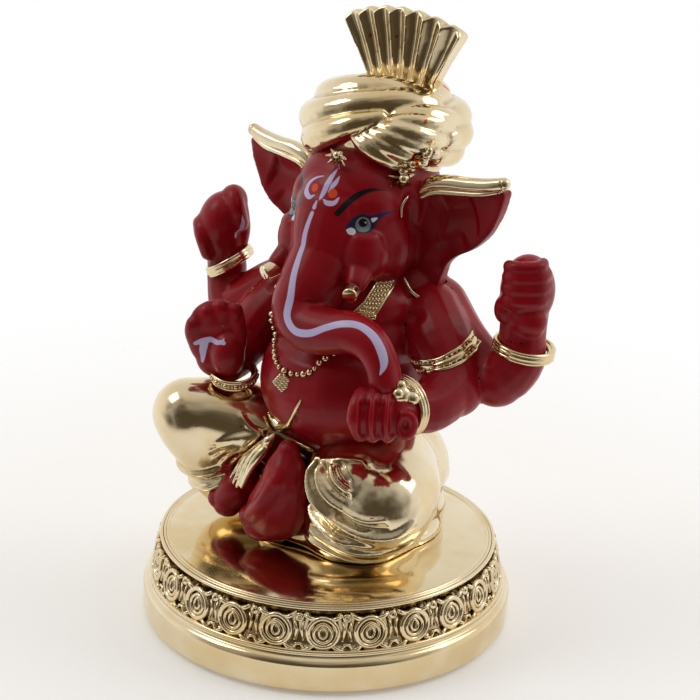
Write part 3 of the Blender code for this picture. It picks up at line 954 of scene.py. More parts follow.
pedestal = {
    "steps": 180,
    "medallions": 24,
    "turn": 5.0,
    "friezeMiddle": 9.1,
    "friezeRadius": 0.926,
    "friezeLean": 10.0,
    "ringRadius": 2.15,
    # the painted shade on the frieze's ground: from this height up to so far below the top, and how far in
    "groundFoot": 6.8,
    "groundTop": 0.9,
    "groundInside": 0.88,
    "groundShade": 0.55,
    # each loop of a medallion: width, height and low end in ring radii, pinch, points and wire in mm
    "loops": [
        (1.0, 2.0, -1.0, 0.12, 20, 0.40),
        (0.62, 1.32, -0.70, 0.35, 20, 0.27),
        (0.27, 0.82, -0.40, 0.7, 14, 0.21),
    ],
    "horns": [
        [(1.1, 0, 1.95, 0.34), (1.9, 0, 2.1, 0.36), (2.5, 0, 2.55, 0.3)],
        [(1.35, 0, -1.9, 0.30), (2.0, 0, -2.35, 0.34), (2.7, 0, -2.6, 0.3)],
    ],
    # between two medallions
    "seed": (0.42, 0.84, 1.72, 0, 10),
    "seedWire": 0.27,
    "arch": [
        (-0.95, 0, -2.75, 0.26), (-0.35, 0, -1.75, 0.27), (0.35, 0, -1.75, 0.27),
        (0.95, 0, -2.75, 0.26),
    ],
    "stalk": [(0.62, 0, 1.5, 0.22), (0.32, 0, 0.3, 0.26), (0.62, 0, -1.1, 0.22)],
}


def arc(centre, radius, start, end, count=8):
    points = []
    for i in range(count + 1):
        angle = math.radians(start + (end - start) * i / count)
        points.append((centre[0] + radius * math.cos(angle), centre[1] + radius * math.sin(angle)))
    return points


def turned(bm, profile, steps):
    # the profile runs down the outside, from the axis at the top to the inside at the bottom
    points = [bm.verts.new((x * mm, 0, z * mm)) for x, z in profile]
    edges = [bm.edges.new(ends) for ends in zip(points, points[1:])]
    bmesh.ops.spin(
        bm, geom=points + edges, cent=(0, 0, 0), axis=(0, 0, 1), angle=math.tau, steps=steps, use_merge=True
    )
    bmesh.ops.remove_doubles(bm, verts=bm.verts, dist=1e-6)
    bmesh.ops.recalc_face_normals(bm, faces=bm.faces)


def makePedestal(material):
    low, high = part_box("pedestal")
    r = (high.x - low.x) / 2 / mm
    top = high.z / mm - 0.1
    foot = low.z / mm
    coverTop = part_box("base_cover")[1].z / mm
    inside = r * 0.880
    # the top disc
    profile = [(0, top - 0.10), (r * 0.6, top - 0.08), (r * 0.852, top - 0.06), (r * 0.858, top - 0.14)]
    # the fine beads round it
    profile += arc((r * 0.866, top - 0.18), 0.24, 150, -10, 6)
    profile += arc((r * 0.882, top - 0.28), 0.22, 160, 0, 6)
    profile += arc((r * 0.899, top - 0.42), 0.30, 150, -60, 8)
    # the frieze's ground, and the bead below it
    profile += [(r * 0.903, top - 0.9), (r * 0.893, top - 1.3), (r * 0.921, 7.1), (r * 0.936, 6.75)]
    profile += arc((r * 0.954, 6.35), 0.34, 110, -60, 8)
    # the plinth, rounded above and below
    profile += [(r * 0.966, 5.85)] + arc((r - 1.3, 4.4), 1.3, 72, 0, 10)
    profile += [(r, 3.4), (r, 2.4)] + arc((r - 0.9, foot + 0.9), 0.9, 0, -90, 10)
    # the rim it stands on, and the inside over the closing plate
    profile += [(r * 0.885, foot), (inside, foot + 0.1), (inside, coverTop + 0.5), (0, coverTop + 0.5)]
    bm = bmesh.new()
    turned(bm, profile, pedestal["steps"])
    body = newPiece("pedestal.cast", bm)
    co = coordinates(body)
    out = np.hypot(co[:, 0], co[:, 1])
    # painted shade: the frieze's ground between the medallions is darkened
    banded = (co[:, 2] > pedestal["groundFoot"]) & (co[:, 2] < top - pedestal["groundTop"])
    deep = banded & (out > r * pedestal["groundInside"])
    addField(body, "hollow", pedestal["groundShade"] * deep / mm)
    finishPiece(body, "pedestal", material)
    finishPiece(newPiece("frieze", medallions(r)), "pedestal", material)


def loopTube(bm, points, radius, sides=6):
    # a closed loop of wire
    rings = []
    count = len(points)
    for i, point in enumerate(points):
        ahead = (Vector(points[(i + 1) % count]) - Vector(points[i - 1])).normalized()
        side = Vector((0, 1, 0)).cross(ahead).normalized()
        turn = Matrix((side, Vector((0, 1, 0)), ahead)).transposed().to_4x4()
        place = Matrix.Translation(Vector(point) * mm) @ turn
        rings.append(bmesh.ops.create_circle(bm, segments=sides, radius=radius * mm, matrix=place)["verts"])
    for one, two in zip(rings, rings[1:] + rings[:1]):
        both = set(one), set(two)
        edges = {e for loop in both for v in loop for e in v.link_edges if e.other_vert(v) in loop}
        bmesh.ops.bridge_loops(bm, edges=list(edges))


def drop(width, height, low, lean=0.0, count=20):
    # a loop with a round bottom and a pointed top, standing in X and Z
    points = []
    for i in range(count):
        angle = math.tau * (i + 0.5) / count
        pinch = 1 - lean * max(0.0, math.cos(angle)) ** 2
        points.append((width * math.sin(angle) * pinch, 0, low + height * (1 + math.cos(angle)) / 2))
    return points


def medallions(r):
    # the frieze: medallions and what stands between them, on a pedestal of this radius
    bm = bmesh.new()
    ring = pedestal["ringRadius"]
    for i in range(pedestal["medallions"]):
        one = bmesh.new()
        for wide, tall, low, pinch, count, wire in pedestal["loops"]:
            loopTube(one, drop(ring * wide, tall * ring, low * ring, pinch, count), wire)
        for side in (-1, 1):
            for stations in pedestal["horns"]:
                addTube(one, sided(stations, side), sides=6)
        between = bmesh.new()
        loopTube(between, drop(*pedestal["seed"]), pedestal["seedWire"])
        addTube(between, pedestal["arch"], sides=6)
        for side in (-1, 1):
            addTube(between, sided(pedestal["stalk"], side), sides=6)
        for part, shift in ((one, 0.0), (between, 0.5)):
            angle = math.radians(pedestal["turn"] + 360 * (i + shift) / pedestal["medallions"])
            lean = Matrix.Rotation(math.radians(-pedestal["friezeLean"]), 4, "X")
            out = Matrix.Translation((0, -r * pedestal["friezeRadius"] * mm, pedestal["friezeMiddle"] * mm))
            bmesh.ops.transform(part, matrix=Matrix.Rotation(angle, 4, "Z") @ out @ lean, verts=part.verts)
            join(bm, part)
    bmesh.ops.recalc_face_normals(bm, faces=bm.faces)
    return bm


# Turban and plume

turban = {"centre": (0.6, 10.4, 73.8), "radii": (10.0, 9.6, 5.9)}


def onTurban(azimuth, elevation, lift, radius):
    # azimuth 0 is the brow, 90 the figure's left ear
    a, e = math.radians(azimuth), math.radians(elevation)
    way = (math.sin(a) * math.cos(e), -math.cos(a) * math.cos(e), math.sin(e))
    c, k = turban["centre"], turban["radii"]
    return (*[c[i] + way[i] * (k[i] + lift) for i in range(3)], radius)


def wrap(stops):
    # a roll of cloth: (azimuth, elevation, lift, radius) stops, followed round the turban
    return [onTurban(*stop) for stop in curved(stops, 5)]


turbanRolls = [
    # the flap over the brow, the broad band above it, and the crown
    [
        (-120, -24, 0, 2.5), (-80, -26, 0.2, 2.7), (-45, -15, 0.4, 2.6), (-15, 6, 0.5, 2.1),
        (8, 22, 0.6, 1.6), (28, 34, 0.5, 0.9),
    ],
    [
        (-125, 4, 0, 2.6), (-85, 3, 0.1, 2.8), (-50, 12, 0.3, 2.7), (-18, 34, 0.4, 2.2),
        (12, 48, 0.4, 2.0), (50, 54, 0.1, 2.2), (90, 44, 0, 2.2),
    ],
    [
        (-115, 36, -0.2, 2.7), (-65, 38, 0.0, 2.9), (-25, 60, 0.2, 2.7), (30, 72, 0.1, 2.5),
        (80, 64, -0.2, 2.4),
    ],
    # pleats that fan out from the brow towards the jewel
    [(44, 38, 0.0, 1.1), (66, 34, 0.7, 1.5), (84, 27, 0.9, 1.6), (105, 18, 0.6, 1.6)],
    [(36, 29, 0.4, 0.7), (52, 27, 1.0, 1.25), (70, 23, 1.2, 1.35), (92, 16, 0.8, 1.2)],
    [(28, 22, 0.5, 0.6), (44, 18, 1.1, 1.2), (60, 11, 1.3, 1.3), (80, 2, 0.9, 1.1)],
    [(22, 15, 0.5, 0.6), (38, 9, 1.1, 1.15), (55, 0, 1.3, 1.25), (75, -12, 0.9, 1.0)],
    [(16, 10, 0.5, 0.6), (30, 1, 1.1, 1.15), (46, -9, 1.3, 1.2), (66, -23, 0.9, 0.95)],
    [(9, 5, 0.4, 0.7), (22, -6, 1.0, 1.2), (38, -19, 1.2, 1.25), (60, -38, 0.7, 0.95)],
    # the soft rolls round the back
    [
        (100, 22, 0.0, 2.2), (130, 16, 0.5, 2.6), (180, 14, 0.5, 2.6), (215, 10, 0.4, 2.6),
        (240, 6, 0.0, 2.6),
    ],
    [
        (92, 0, 0.2, 1.9), (125, -4, 0.6, 2.4), (175, -6, 0.6, 2.5), (215, -10, 0.5, 2.5),
        (245, -18, 0.0, 2.5),
    ],
    [
        (84, -22, 0.2, 1.8), (120, -26, 0.6, 2.3), (170, -28, 0.6, 2.4), (215, -32, 0.4, 2.3),
        (248, -36, 0.0, 2.0),
    ],
    [(74, -42, 0.0, 1.6), (115, -48, 0.3, 1.9), (170, -50, 0.3, 2.0), (220, -50, 0.2, 1.9)],
    [(105, 50, -0.2, 2.4), (150, 44, 0.2, 2.7), (200, 40, 0.2, 2.7), (245, 36, -0.2, 2.7)],
]


def makeTurban(material):
    bm = bmesh.new()
    addBall(bm, turban["centre"], [k + 0.5 for k in turban["radii"]])
    for stops in turbanRolls:
        addTube(bm, wrap(stops), sides=18)
    cloth = melted("turban.cast", bm, 0.25, 3)
    # painted shade in the turban's grooves
    addRecessShade(cloth, 0.9)
    finishPiece(cloth, "turban", material)


plume = {
    "flutes": 7,
    "channel": 2.2,
    "perFlute": 10,
    "rows": 26,
    "waist": 5.4,
    "spread": 10.1,
    "thick": 2.6,
    "lean": 0.6,
}


def makePlume(material):
    low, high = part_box("plume")
    middle = (low + high) / 2 / mm
    foot, tip = low.z / mm - 1.2, high.z / mm
    columns = plume["flutes"] * plume["perFlute"]
    bm = bmesh.new()
    bmesh.ops.create_grid(bm, x_segments=columns, y_segments=plume["rows"], size=0.5)
    front = list(bm.verts)
    for v in front:
        v.co.z = 0
    made = bmesh.ops.extrude_face_region(bm, geom=bm.faces[:])
    back = [v for v in made["geom"] if isinstance(v, bmesh.types.BMVert)]
    for verts, side in ((front, -1), (back, 1)):
        for v in verts:
            u, t = v.co.x + 0.5, v.co.y + 0.5
            flute = math.sin(math.pi * ((u * plume["flutes"]) % 1.0))
            opened = min(1.0, 0.25 + 1.1 * t)
            half = plume["waist"] + (plume["spread"] - plume["waist"]) * t**1.15
            x = (2 * u - 1) * half
            crown = tip - 0.9 - 2.3 * (2 * u - 1) ** 2 + 0.85 * flute**0.7 * t**4
            z = foot + (crown - foot) * t
            depth = plume["thick"] * (0.75 + 0.25 * t) / 2 - plume["channel"] * 0.5 * opened * flute**0.8
            bow = 1.0 * (2 * u - 1) ** 2 * (0.4 + 0.6 * t)
            y = side * (depth + 0.35) + bow - plume["lean"] * t
            v.co = Vector((middle.x + x, middle.y + y, z)) * mm
    bmesh.ops.recalc_face_normals(bm, faces=bm.faces)
    rim = [e for e in bm.edges if e.calc_face_angle(0) > 1.0]
    bmesh.ops.bevel(bm, geom=rim, offset=0.35 * mm, segments=3, profile=0.5, material=-1, affect="EDGES")
    fan = melted("plume.cast", bm, 0.2, 4)
    # painted shade in the flutes
    addRecessShade(fan, 1.6)
    finishPiece(fan, "plume", material)


def leaf(bm, root, tip, width):
    # a small cast leaf
    middle = [0.5 * (a + b) for a, b in zip(root, tip)]
    addTube(bm, [(*root, width * 0.5), (*middle, width), (*tip, width * 0.3)], sides=7)


tassel = {
    "heart": (1.4, -2.2, 72.2),
    # the way each leaf hangs, in degrees from straight down, and its length
    "leaves": [
        (-80, 1.9), (-45, 2.1), (-15, 2.0), (15, 2.1), (45, 1.9), (80, 1.6), (130, 1.2),
        (-130, 1.3),
    ],
}
brooch = {
    "stem": [(11.6, 1.4, 68.2), (13.0, 2.6, 69.6), (13.8, 3.6, 71.4), (14.2, 4.6, 73.6)],
    "out": (0.80, -0.58, 0.0),
    "side": (0.58, 0.80, 0.0),
}


def makeTassel(material):
    heart = Vector(tassel["heart"])
    bm = bmesh.new()
    for angle, reach in tassel["leaves"]:
        turn = math.radians(angle)
        tip = heart + Vector((math.sin(turn) * reach, -0.5, -math.cos(turn) * reach * 0.85))
        leaf(bm, heart + Vector((0, -0.2, 0)), tip, 0.36)
    addBall(bm, heart + Vector((0, -0.5, 0.1)), (0.6, 0.6, 0.6))
    finishPiece(newPiece("tassel.cast", bm), "turban_tassel", material)


def makeBrooch(material):
    # a stem of beads with a leaf to either side, and a rosette at its foot
    bm = bmesh.new()
    line = onSurface(surfaceOf(pieces["turban.cast"]), brooch["stem"], 3)
    out, side = Vector(brooch["out"]), Vector(brooch["side"])
    for i, point in enumerate(line):
        spot = Vector(point) + out * 0.4
        size = 0.75 - 0.25 * i / len(line)
        addBall(bm, spot, (size, size, size))
        for way in (-1, 1):
            rise = Vector((0, 0, 0.9 * math.cos(i * 1.7)))
            tip = spot + side * way * (2.1 - 0.9 * i / len(line)) + rise - out * 0.2
            leaf(bm, spot, tip, 0.38)
    spot = Vector(line[0]) - Vector((0, 0, 1.0))
    for angle in range(-60, 240, 50):
        turn = math.radians(angle)
        tip = spot + side * math.cos(turn) * 1.9 - Vector((0, 0, math.sin(turn) * 1.9))
        leaf(bm, spot + out * 0.5, tip, 0.45)
    addBall(bm, spot + out * 0.8, (0.8, 0.8, 0.8))
    finishPiece(newPiece("brooch.cast", bm), "turban_brooch", material)


# Dhoti

dhotiBalls = [
    ((0, 10.5, 21.5), (13.2, 10.2, 9.4)),
    ((0, 5.6, 17.4), (14.2, 12.3, 5.2)),
    ((-20.2, -9.0, 29.2), (5.6, 5.4, 5.6)),
    ((12.0, -3.8, 22.2), (7.9, 7.8, 7.7)),
    ((8.0, -5.4, 24.8), (6.4, 6.8, 6.2)),
    ((4.8, -5.8, 26.0), (3.7, 4.4, 4.0)),
    ((0, 6.2, 13.4), (14.8, 12.8, 3.4)),
    ((0, 9.6, 15.6), (13.4, 10.6, 6.0)),
]
dhotiTubes = [
    [
        (-7.0, 4.5, 23.6, 7.6), (-14, -2.6, 27.0, 6.8), (-19.8, -8.8, 29.0, 5.6),
        (-17.8, -7.2, 24.4, 5.3), (-15.4, -4.8, 19.2, 5.2), (-9, -2, 17, 4.5),
    ],
    [(7.0, 5.0, 22.6, 8.0), (11.6, -2.0, 22.4, 7.8), (10.6, -5.2, 20.0, 6.6), (5.6, -5.4, 18.4, 5.2)],
    [
        (-6.4, -8.0, 14.2, 1.0), (-2, -7.4, 14.6, 1.6), (2, -6.8, 14.9, 2.2), (7, -7.2, 14.8, 2.4),
        (11.5, -4.2, 14.8, 2.4), (12.5, 2.0, 14.8, 2.4),
    ],
]
# folds pressed into the cloth: (route, width, depth), raised where the depth is negative
dhotiFolds = [
    # the hem that sweeps down from the waist and round under the left knee, and its second line
    ([
        (3.8, -9.6, 29.0), (4.0, -10.2, 26.4), (5.6, -10.8, 24.0), (8.6, -11.4, 21.8),
        (13.4, -11.2, 20.4), (17.4, -9.0, 20.4), (19.4, -6.2, 22.0),
    ], 0.85, -0.95),
    ([
        (4.8, -9.8, 28.8), (5.2, -10.6, 26.4), (6.9, -11.2, 24.4), (9.6, -11.6, 22.8),
        (13.6, -11.2, 21.6), (17.0, -9.4, 21.8),
    ], 0.6, 0.75),
    ([
        (5.6, -9.6, 28.8), (6.3, -10.6, 26.8), (8.0, -11.2, 25.1), (10.6, -11.5, 23.7),
        (14.0, -11.2, 22.8), (16.8, -9.8, 23.0),
    ], 0.7, -0.8),
    ([(6.6, -9.8, 28.8), (7.5, -10.7, 27.2), (9.4, -11.2, 25.9), (11.6, -11.3, 25.0)], 0.65, 0.6),
    ([(7.4, -9.6, 29.0), (8.4, -10.5, 27.6), (10.2, -11.0, 26.6), (11.6, -11.0, 26.2)], 0.6, -0.65),
    ([(8.6, -9.4, 29.2), (9.6, -10.2, 28.4), (11.2, -10.6, 27.6)], 0.6, 0.45),
    # outside the hem
    ([
        (3.0, -9.0, 24.6), (4.0, -10.0, 22.0), (6.8, -11.0, 20.4), (10.0, -11.6, 19.2),
        (15.0, -10.2, 18.4),
    ], 0.8, 0.75),
    ([(2.6, -8.8, 22.0), (4.4, -10.2, 20.0), (7.6, -11.2, 18.9), (11.4, -11.2, 17.8)], 0.75, -0.8),
    ([
        (3.0, -9.4, 18.6), (6.6, -10.6, 17.4), (11.2, -10.6, 16.7), (15.4, -7.6, 17.0),
        (18.0, -5.4, 18.6),
    ], 1.0, 0.9),
    ([
        (2.2, -8.8, 16.4), (5.6, -9.8, 15.6), (9.4, -9.6, 14.9), (13.2, -7.0, 14.9),
        (15.6, -3.4, 15.6),
    ], 0.8, -0.6),
    # under the right knee
    ([(-21.6, -10.6, 21.6), (-19.0, -11.2, 20.9), (-15.7, -11.3, 21.3), (-13.2, -10.0, 22.2)], 0.8, -0.6),
    ([(-21.0, -10.0, 19.9), (-18.4, -10.7, 19.6), (-15.1, -10.6, 20.3), (-13.0, -9.6, 21.4)], 0.6, 0.6),
    ([(-20.2, -9.2, 18.4), (-17.6, -10.0, 18.2), (-14.6, -9.8, 19.2), (-12.8, -9.0, 20.6)], 0.7, -0.5),
    # behind
    ([(-14.0, 16.0, 20.0), (0, 21.6, 18.0), (14.0, 16.0, 20.0)], 1.6, -0.5),
    ([(-13.0, 16.0, 16.4), (0, 21.0, 14.8), (13.0, 16.0, 16.4)], 1.4, 0.5),
    ([(-11.0, 17.0, 26.0), (-3.0, 20.8, 23.0), (8.0, 19.0, 25.0)], 1.6, -0.4),
    ([(-9.0, 18.0, 28.4), (-1.0, 20.0, 26.4), (9.0, 18.0, 28.4)], 1.3, 0.4),
]
# gathered at the waist: where each pleat ends on the right thigh
waistPleats = {
    "root": (-7.6, -6.6, 28.6),
    "ends": [
        (-13.8, -11.0, 26.6), (-14.4, -11.0, 25.3), (-13.9, -10.5, 24.1), (-13.2, -9.7, 23.0),
        (-12.2, -8.4, 22.3), (-11.2, -7.3, 21.8),
    ],
}
waistFolds = [
    [(3.0, -9.6, 29.6, 0.3), (6.0, -10.2, 29.8, 0.45), (9.0, -9.4, 30.4, 0.45), (12.0, -8.0, 30.8, 0.3)],
    [(-11.0, -7.6, 30.8, 0.3), (-9.6, -7.5, 29.4, 0.45), (-8.2, -6.8, 28.6, 0.5)],
]
# the loose end of the cloth between the shins
sashStrips = [
    [(-4.6, -9.2, 28.6, 0.55), (-6.2, -10.6, 25.8, 0.75), (-8.0, -11.2, 21.4, 0.3)],
    [(-5.2, -8.8, 28.6, 0.55), (-7.2, -10.2, 25.8, 0.7), (-8.9, -11.2, 21.2, 0.3)],
    [(-5.8, -8.2, 28.6, 0.5), (-8.2, -9.8, 25.6, 0.6), (-9.8, -10.9, 21.4, 0.25)],
    [(-6.2, -7.8, 28.4, 0.45), (-9.0, -9.2, 25.2, 0.5), (-10.8, -10.4, 21.8, 0.2)],
    [(-4.0, -8.8, 30.2, 0.3), (-4.6, -9.4, 29.2, 0.8), (-5.4, -8.8, 28.2, 0.6)],
]


def makeDhoti(material):
    bm = bmesh.new()
    for one in dhotiBalls:
        addBall(bm, *one)
    for stations in dhotiTubes:
        addTube(bm, curved(stations, 5), sides=28)
    base = melted("dhoti.base", bm, 0.5, 12)
    skin = surfaceOf(base)
    bm = bmesh.new()
    bm.from_mesh(base.data)
    bpy.data.objects.remove(base)
    for end in waistPleats["ends"]:
        root = waistPleats["root"]
        middle = [0.5 * (a + b) for a, b in zip(root, end)]
        middle[1] -= 0.8
        line = [(*root, 0.45), (*middle, 0.62), (*end, 0.16)]
        addTube(bm, onSurface(skin, line), sides=8)
    for line in waistFolds:
        addTube(bm, onSurface(skin, line), sides=8)
    cloth = melted("dhoti.cast", bm, 0.26, 3)
    for route, width, depth in dhotiFolds:
        press(cloth, [(onSurface(surfaceOf(cloth), route, 6), width, depth)])
    relax(cloth, 2)
    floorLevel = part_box("dhoti")[0].z
    co = coordinates(cloth)
    co[:, 2] = np.maximum(co[:, 2], floorLevel / mm)
    moveTo(cloth, co)
    # painted shade in the folds
    addRecessShade(cloth, 0.9)
    finishPiece(cloth, "dhoti", material)


def makeSash(material):
    sash = clay("sash.cast", [], sashStrips, voxel=0.18, soften=2)
    # painted shade between the strips
    addRecessShade(sash, 0.6)
    finishPiece(sash, "dhoti_sash", material)


# Jewellery


def smallPiece(name, node, material, balls=(), tubes=(), sides=10):
    # an ornament put together from balls and wires
    bm = bmesh.new()
    for centre, radii in balls:
        addBall(bm, centre, radii)
    for stations in tubes:
        addTube(bm, stations, sides=sides)
    bmesh.ops.recalc_face_normals(bm, faces=bm.faces)
    finishPiece(newPiece(name, bm), node, material)


def ringRoute(centre, normal, radius, wire, count=40):
    # a closed circle of stations square to the normal
    n = Vector(normal).normalized()
    side = n.cross(Vector((0.2, 0.1, 1) if abs(n.z) < 0.8 else (0, 1, 0))).normalized()
    up = n.cross(side)
    route = []
    for i in range(count + 1):
        angle = math.tau * i / count
        spot = Vector(centre) + side * radius * math.cos(angle) + up * radius * math.sin(angle)
        route.append((*spot, wire))
    return route


# centre, axis, radius and wire
bangles = {
    "bangle_upper_left": ((27.6, 7.7, 46.9), (0.15, 0.05, 1.0), 3.95, 0.62),
    "bangle_upper_right": ((-25.6, 7.3, 48.4), (-0.50, -0.20, 0.85), 3.45, 0.7),
    "bangle_lower_left": ((17.4, -7.4, 40.0), (-0.15, -1.0, 0.0), 4.0, 0.6),
    "bangle_lower_right": ((-14.5, -5.2, 36.0), (0.16, -0.2, 1.0), 3.0, 0.45),
}
# a point inside the arm, the band's axis, and how far out the skin is looked for
armlets = {
    "armlet_left": ((16.0, 4.4, 44.7), (-0.36, -0.24, 0.90), 6.4),
    "armlet_right": ((-15.0, 4.4, 43.4), (-0.48, -0.52, -0.70), 5.6),
}
collarRoute = [
    (6.8, 4.4, 54.4), (7.9, 0.6, 53.4), (8.0, -1.7, 51.8), (7.3, -3.2, 50.0),
    (4.6, -5.2, 47.4), (0, -6.4, 45.8),
]
beadRoute = [
    (-9.6, -1.0, 49.8), (-9.4, -2.4, 47.4), (-9.7, -2.8, 44.6), (-8.0, -4.0, 42.9),
    (-6.0, -6.2, 41.6), (-3.9, -7.5, 40.4), (-0.6, -8.2, 40.4), (1.8, -7.6, 41.2),
    (3.0, -6.2, 43.2), (6.0, -4.6, 46.4), (8.4, -1.5, 50.2),
]
pendantPlace = (-2.6, -8.4, 39.0)
threadRoute = [
    (-8.8, -7.0, 30.4, 0.3), (-7.0, -7.6, 29.6, 0.75), (-4.6, -7.4, 29.9, 0.85),
    (-1.9, -8.2, 32.1, 0.45), (-0.1, -8.9, 34.9, 0.26), (0.9, -9.1, 37.0, 0.12),
]
# beaded bands: the wires at the edges and under the beads, and (width, rows) of each kind
band = {
    "edge": 0.26,
    "core": 0.55,
    "grain": 0.27,
    "lift": 0.12,
    "armlet": (1.9, 6),
    "collar": (2.3, 7),
}
bead = {"gap": 0.92, "size": 0.46, "lift": 0.2}
tuskRoute = [(6.7, -5.0, 54.7, 1.1), (7.2, -6.3, 54.3, 1.15), (7.6, -7.3, 54.0, 1.1)]
tuskTip = [(7.64, -7.4, 53.97, 0.94)]
earTrim = [
    # the rolled rim, the wire under it, the ring before it and the drop at the lobe
    [
        (9.2, 6.6, 66.4, 0.8), (11.0, 7.0, 67.8, 1.1), (13.6, 7.3, 68.5, 1.2),
        (17.0, 7.7, 68.7, 1.15), (20.0, 8.1, 69.1, 1.1), (22.2, 8.5, 69.7, 0.95),
    ],
    [
        (9.8, 6.0, 65.8, 0.4), (12.0, 6.3, 67.0, 0.45), (15.4, 6.9, 67.4, 0.42), (19.0, 7.4, 67.8, 0.4),
        (21.8, 8.2, 68.6, 0.35),
    ],
    [(9.4, 3.6, 66.4, 0.2), (9.0, 2.8, 65.0, 0.26), (9.2, 2.6, 63.6, 0.16)],
    [(9.6, 3.4, 54.4, 0.16), (10.8, 3.6, 52.6, 0.26), (12.6, 4.6, 51.2, 0.3)],
]
modakLumps = [
    ((0, 0, 0), (1.9, 1.8, 1.7)),
    ((-1.6, 0.2, 0.4), (1.1, 1.1, 1.1)),
    ((1.7, 0.6, -0.3), (1.2, 1.2, 1.1)),
    ((0.5, -1.2, 0.6), (0.9, 0.9, 0.9)),
    ((0.2, -0.2, 1.5), (0.9, 0.9, 0.8)),
]


def aside(tree, line, shift):
    # a line on the surface moved sideways over it
    moved = []
    for i, point in enumerate(line):
        ahead = Vector(line[min(i + 1, len(line) - 1)][:3]) - Vector(line[max(i - 1, 0)][:3])
        spot, normal = tree.find_nearest(Vector(point[:3]) * mm)[:2]
        spot = tree.find_nearest(spot + normal.cross(ahead).normalized() * shift * mm)[0]
        moved.append((*(spot / mm), *point[3:]))
    return moved


def lifted(tree, line, lift):
    # a line brought to the surface and raised off it
    made = []
    for point in line:
        spot, normal = tree.find_nearest(Vector(point[:3]) * mm)[:2]
        made.append((*(spot / mm + normal * lift), *point[3:]))
    return made


def evenly(line, gap):
    # places along a line that are at least this gap apart
    made = [Vector(line[0][:3])]
    for point in line:
        if (Vector(point[:3]) - made[-1]).length >= gap:
            made.append(Vector(point[:3]))
    return made


def girdle(tree, centre, normal, reach, count=44):
    # round a limb: the surface met by each spoke of a wheel inside it
    middle = Vector(centre)
    line = []
    for point in ringRoute(centre, normal, 1.0, 0.3, count):
        spoke = (Vector(point[:3]) - middle).normalized()
        hit = tree.ray_cast(middle * mm, spoke, reach * mm)
        line.append((*(middle + spoke * min(hit[3] / mm if hit[0] else reach, reach)), 0.3))
    return line


def beadedBand(tree, line, width, rows):
    # small rough beads between two wires, all laid on the surface
    balls, wires = [], []
    for row in range(rows):
        shift = width * (row / (rows - 1) - 0.5)
        track = lifted(tree, aside(tree, line, shift), band["lift"])
        if row in (0, rows - 1):
            wires.append([(*p[:3], band["edge"]) for p in track])
            continue
        for i, p in enumerate(track):
            grain = band["grain"] * (1 + 0.35 * math.sin(i * 2.3 + row * 1.9))
            balls.append((p[:3], (grain,) * 3))
    return balls, wires


def makeBangles(material):
    # a ring between two thinner ones; the lower right bangle has a row of beads round it too
    for node, (centre, normal, radius, wire) in bangles.items():
        shift = Vector(normal).normalized() * 0.55
        rings = [ringRoute(centre, normal, radius, wire)]
        for side in (-1, 1):
            rim = ringRoute(centre, normal, radius + 0.25, 0.3)
            rings.append([(*(Vector(p[:3]) + shift * side), 0.34) for p in rim])
        balls = []
        if node == "bangle_lower_right":
            for i, p in enumerate(ringRoute(centre, normal, radius + 0.45, 0)[:-1]):
                balls.append((p[:3], (0.34 + 0.1 * math.sin(i * 2.2),) * 3))
        smallPiece(node + ".cast", node, material, balls, rings)


def makeArmlets(material, bodyTree):
    for node, (centre, normal, reach) in armlets.items():
        line = girdle(bodyTree, centre, normal, reach)
        balls, wires = beadedBand(bodyTree, line, *band["armlet"])
        core = [(*p[:3], band["core"]) for p in line]
        smallPiece(node + ".cast", node, material, balls, [*wires, core])


def makeNecklaces(material, bodyTree):
    collar = curved([(*p, 0.3) for p in collarRoute], 9)
    collar = [tuple(p) for p in collar] + [(-p[0], *p[1:]) for p in collar[-2::-1]]
    balls, edges = beadedBand(bodyTree, collar, *band["collar"])
    smallPiece("collar.cast", "collar", material, balls, edges)
    line = lifted(bodyTree, curved([(*p, 0) for p in beadRoute], 8), bead["lift"])
    balls = []
    for i, p in enumerate(evenly(line, bead["gap"])):
        balls.append((p, (bead["size"] + 0.1 * math.sin(i * 1.9),) * 3))
    smallPiece("beads.cast", "bead_necklace", material, balls)


def makePendant(material, bodyTree):
    # a diamond of beads, five by five with its top one left out
    pendant = lifted(bodyTree, [pendantPlace], 0.4)[0]
    balls = []
    for i in range(5):
        for j in range(5):
            place = Vector(pendant) + across * (i - j) * 0.29 + upward * (3.2 - i - j) * 0.32
            if i + j > 0:
                balls.append((place, (0.34 + 0.05 * math.sin(i * 3 + j),) * 3))
    smallPiece("pendant.cast", "pendant", material, balls)


def makeThread(material, bodyTree):
    track = lifted(bodyTree, curved(threadRoute, 6), 0.1)
    smallPiece("thread.cast", "sacred_thread", material, tubes=[track])


def makeTusksAndEarTrims(material):
    for side, name in ((-1, "right"), (1, "left")):
        line = [*curved(sided(tuskRoute, side)), *sided(tuskTip, side)]
        bm = bmesh.new()
        addTube(bm, line, sides=22, blunt=True)
        bmesh.ops.recalc_face_normals(bm, faces=bm.faces)
        finishPiece(newPiece("tusk_" + name + ".cast", bm), "tusk_" + name, material)
        routes = [curved(sided(stations, side), 5) for stations in earTrim]
        smallPiece("ear_trim_" + name + ".cast", "ear_trim_" + name, material, tubes=routes, sides=12)


def makeModak(material):
    middle = Vector(sum(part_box("modak"), Vector())) / 2 / mm
    lumps = [(middle + Vector(shift), radii) for shift, radii in modakLumps]
    smallPiece("modak.cast", "modak", material, lumps)


# Kept solids, studio and the end


def mottled(name, grain, one, other):
    # two shades mixed by a noise of this size, detail and roughness
    finish = Finish(name)
    mottle = finish.noise(*grain)
    finish.put(Base_Color=finish.blend(mottle, (*one, 1), (*other, 1)))
    return finish, mottle


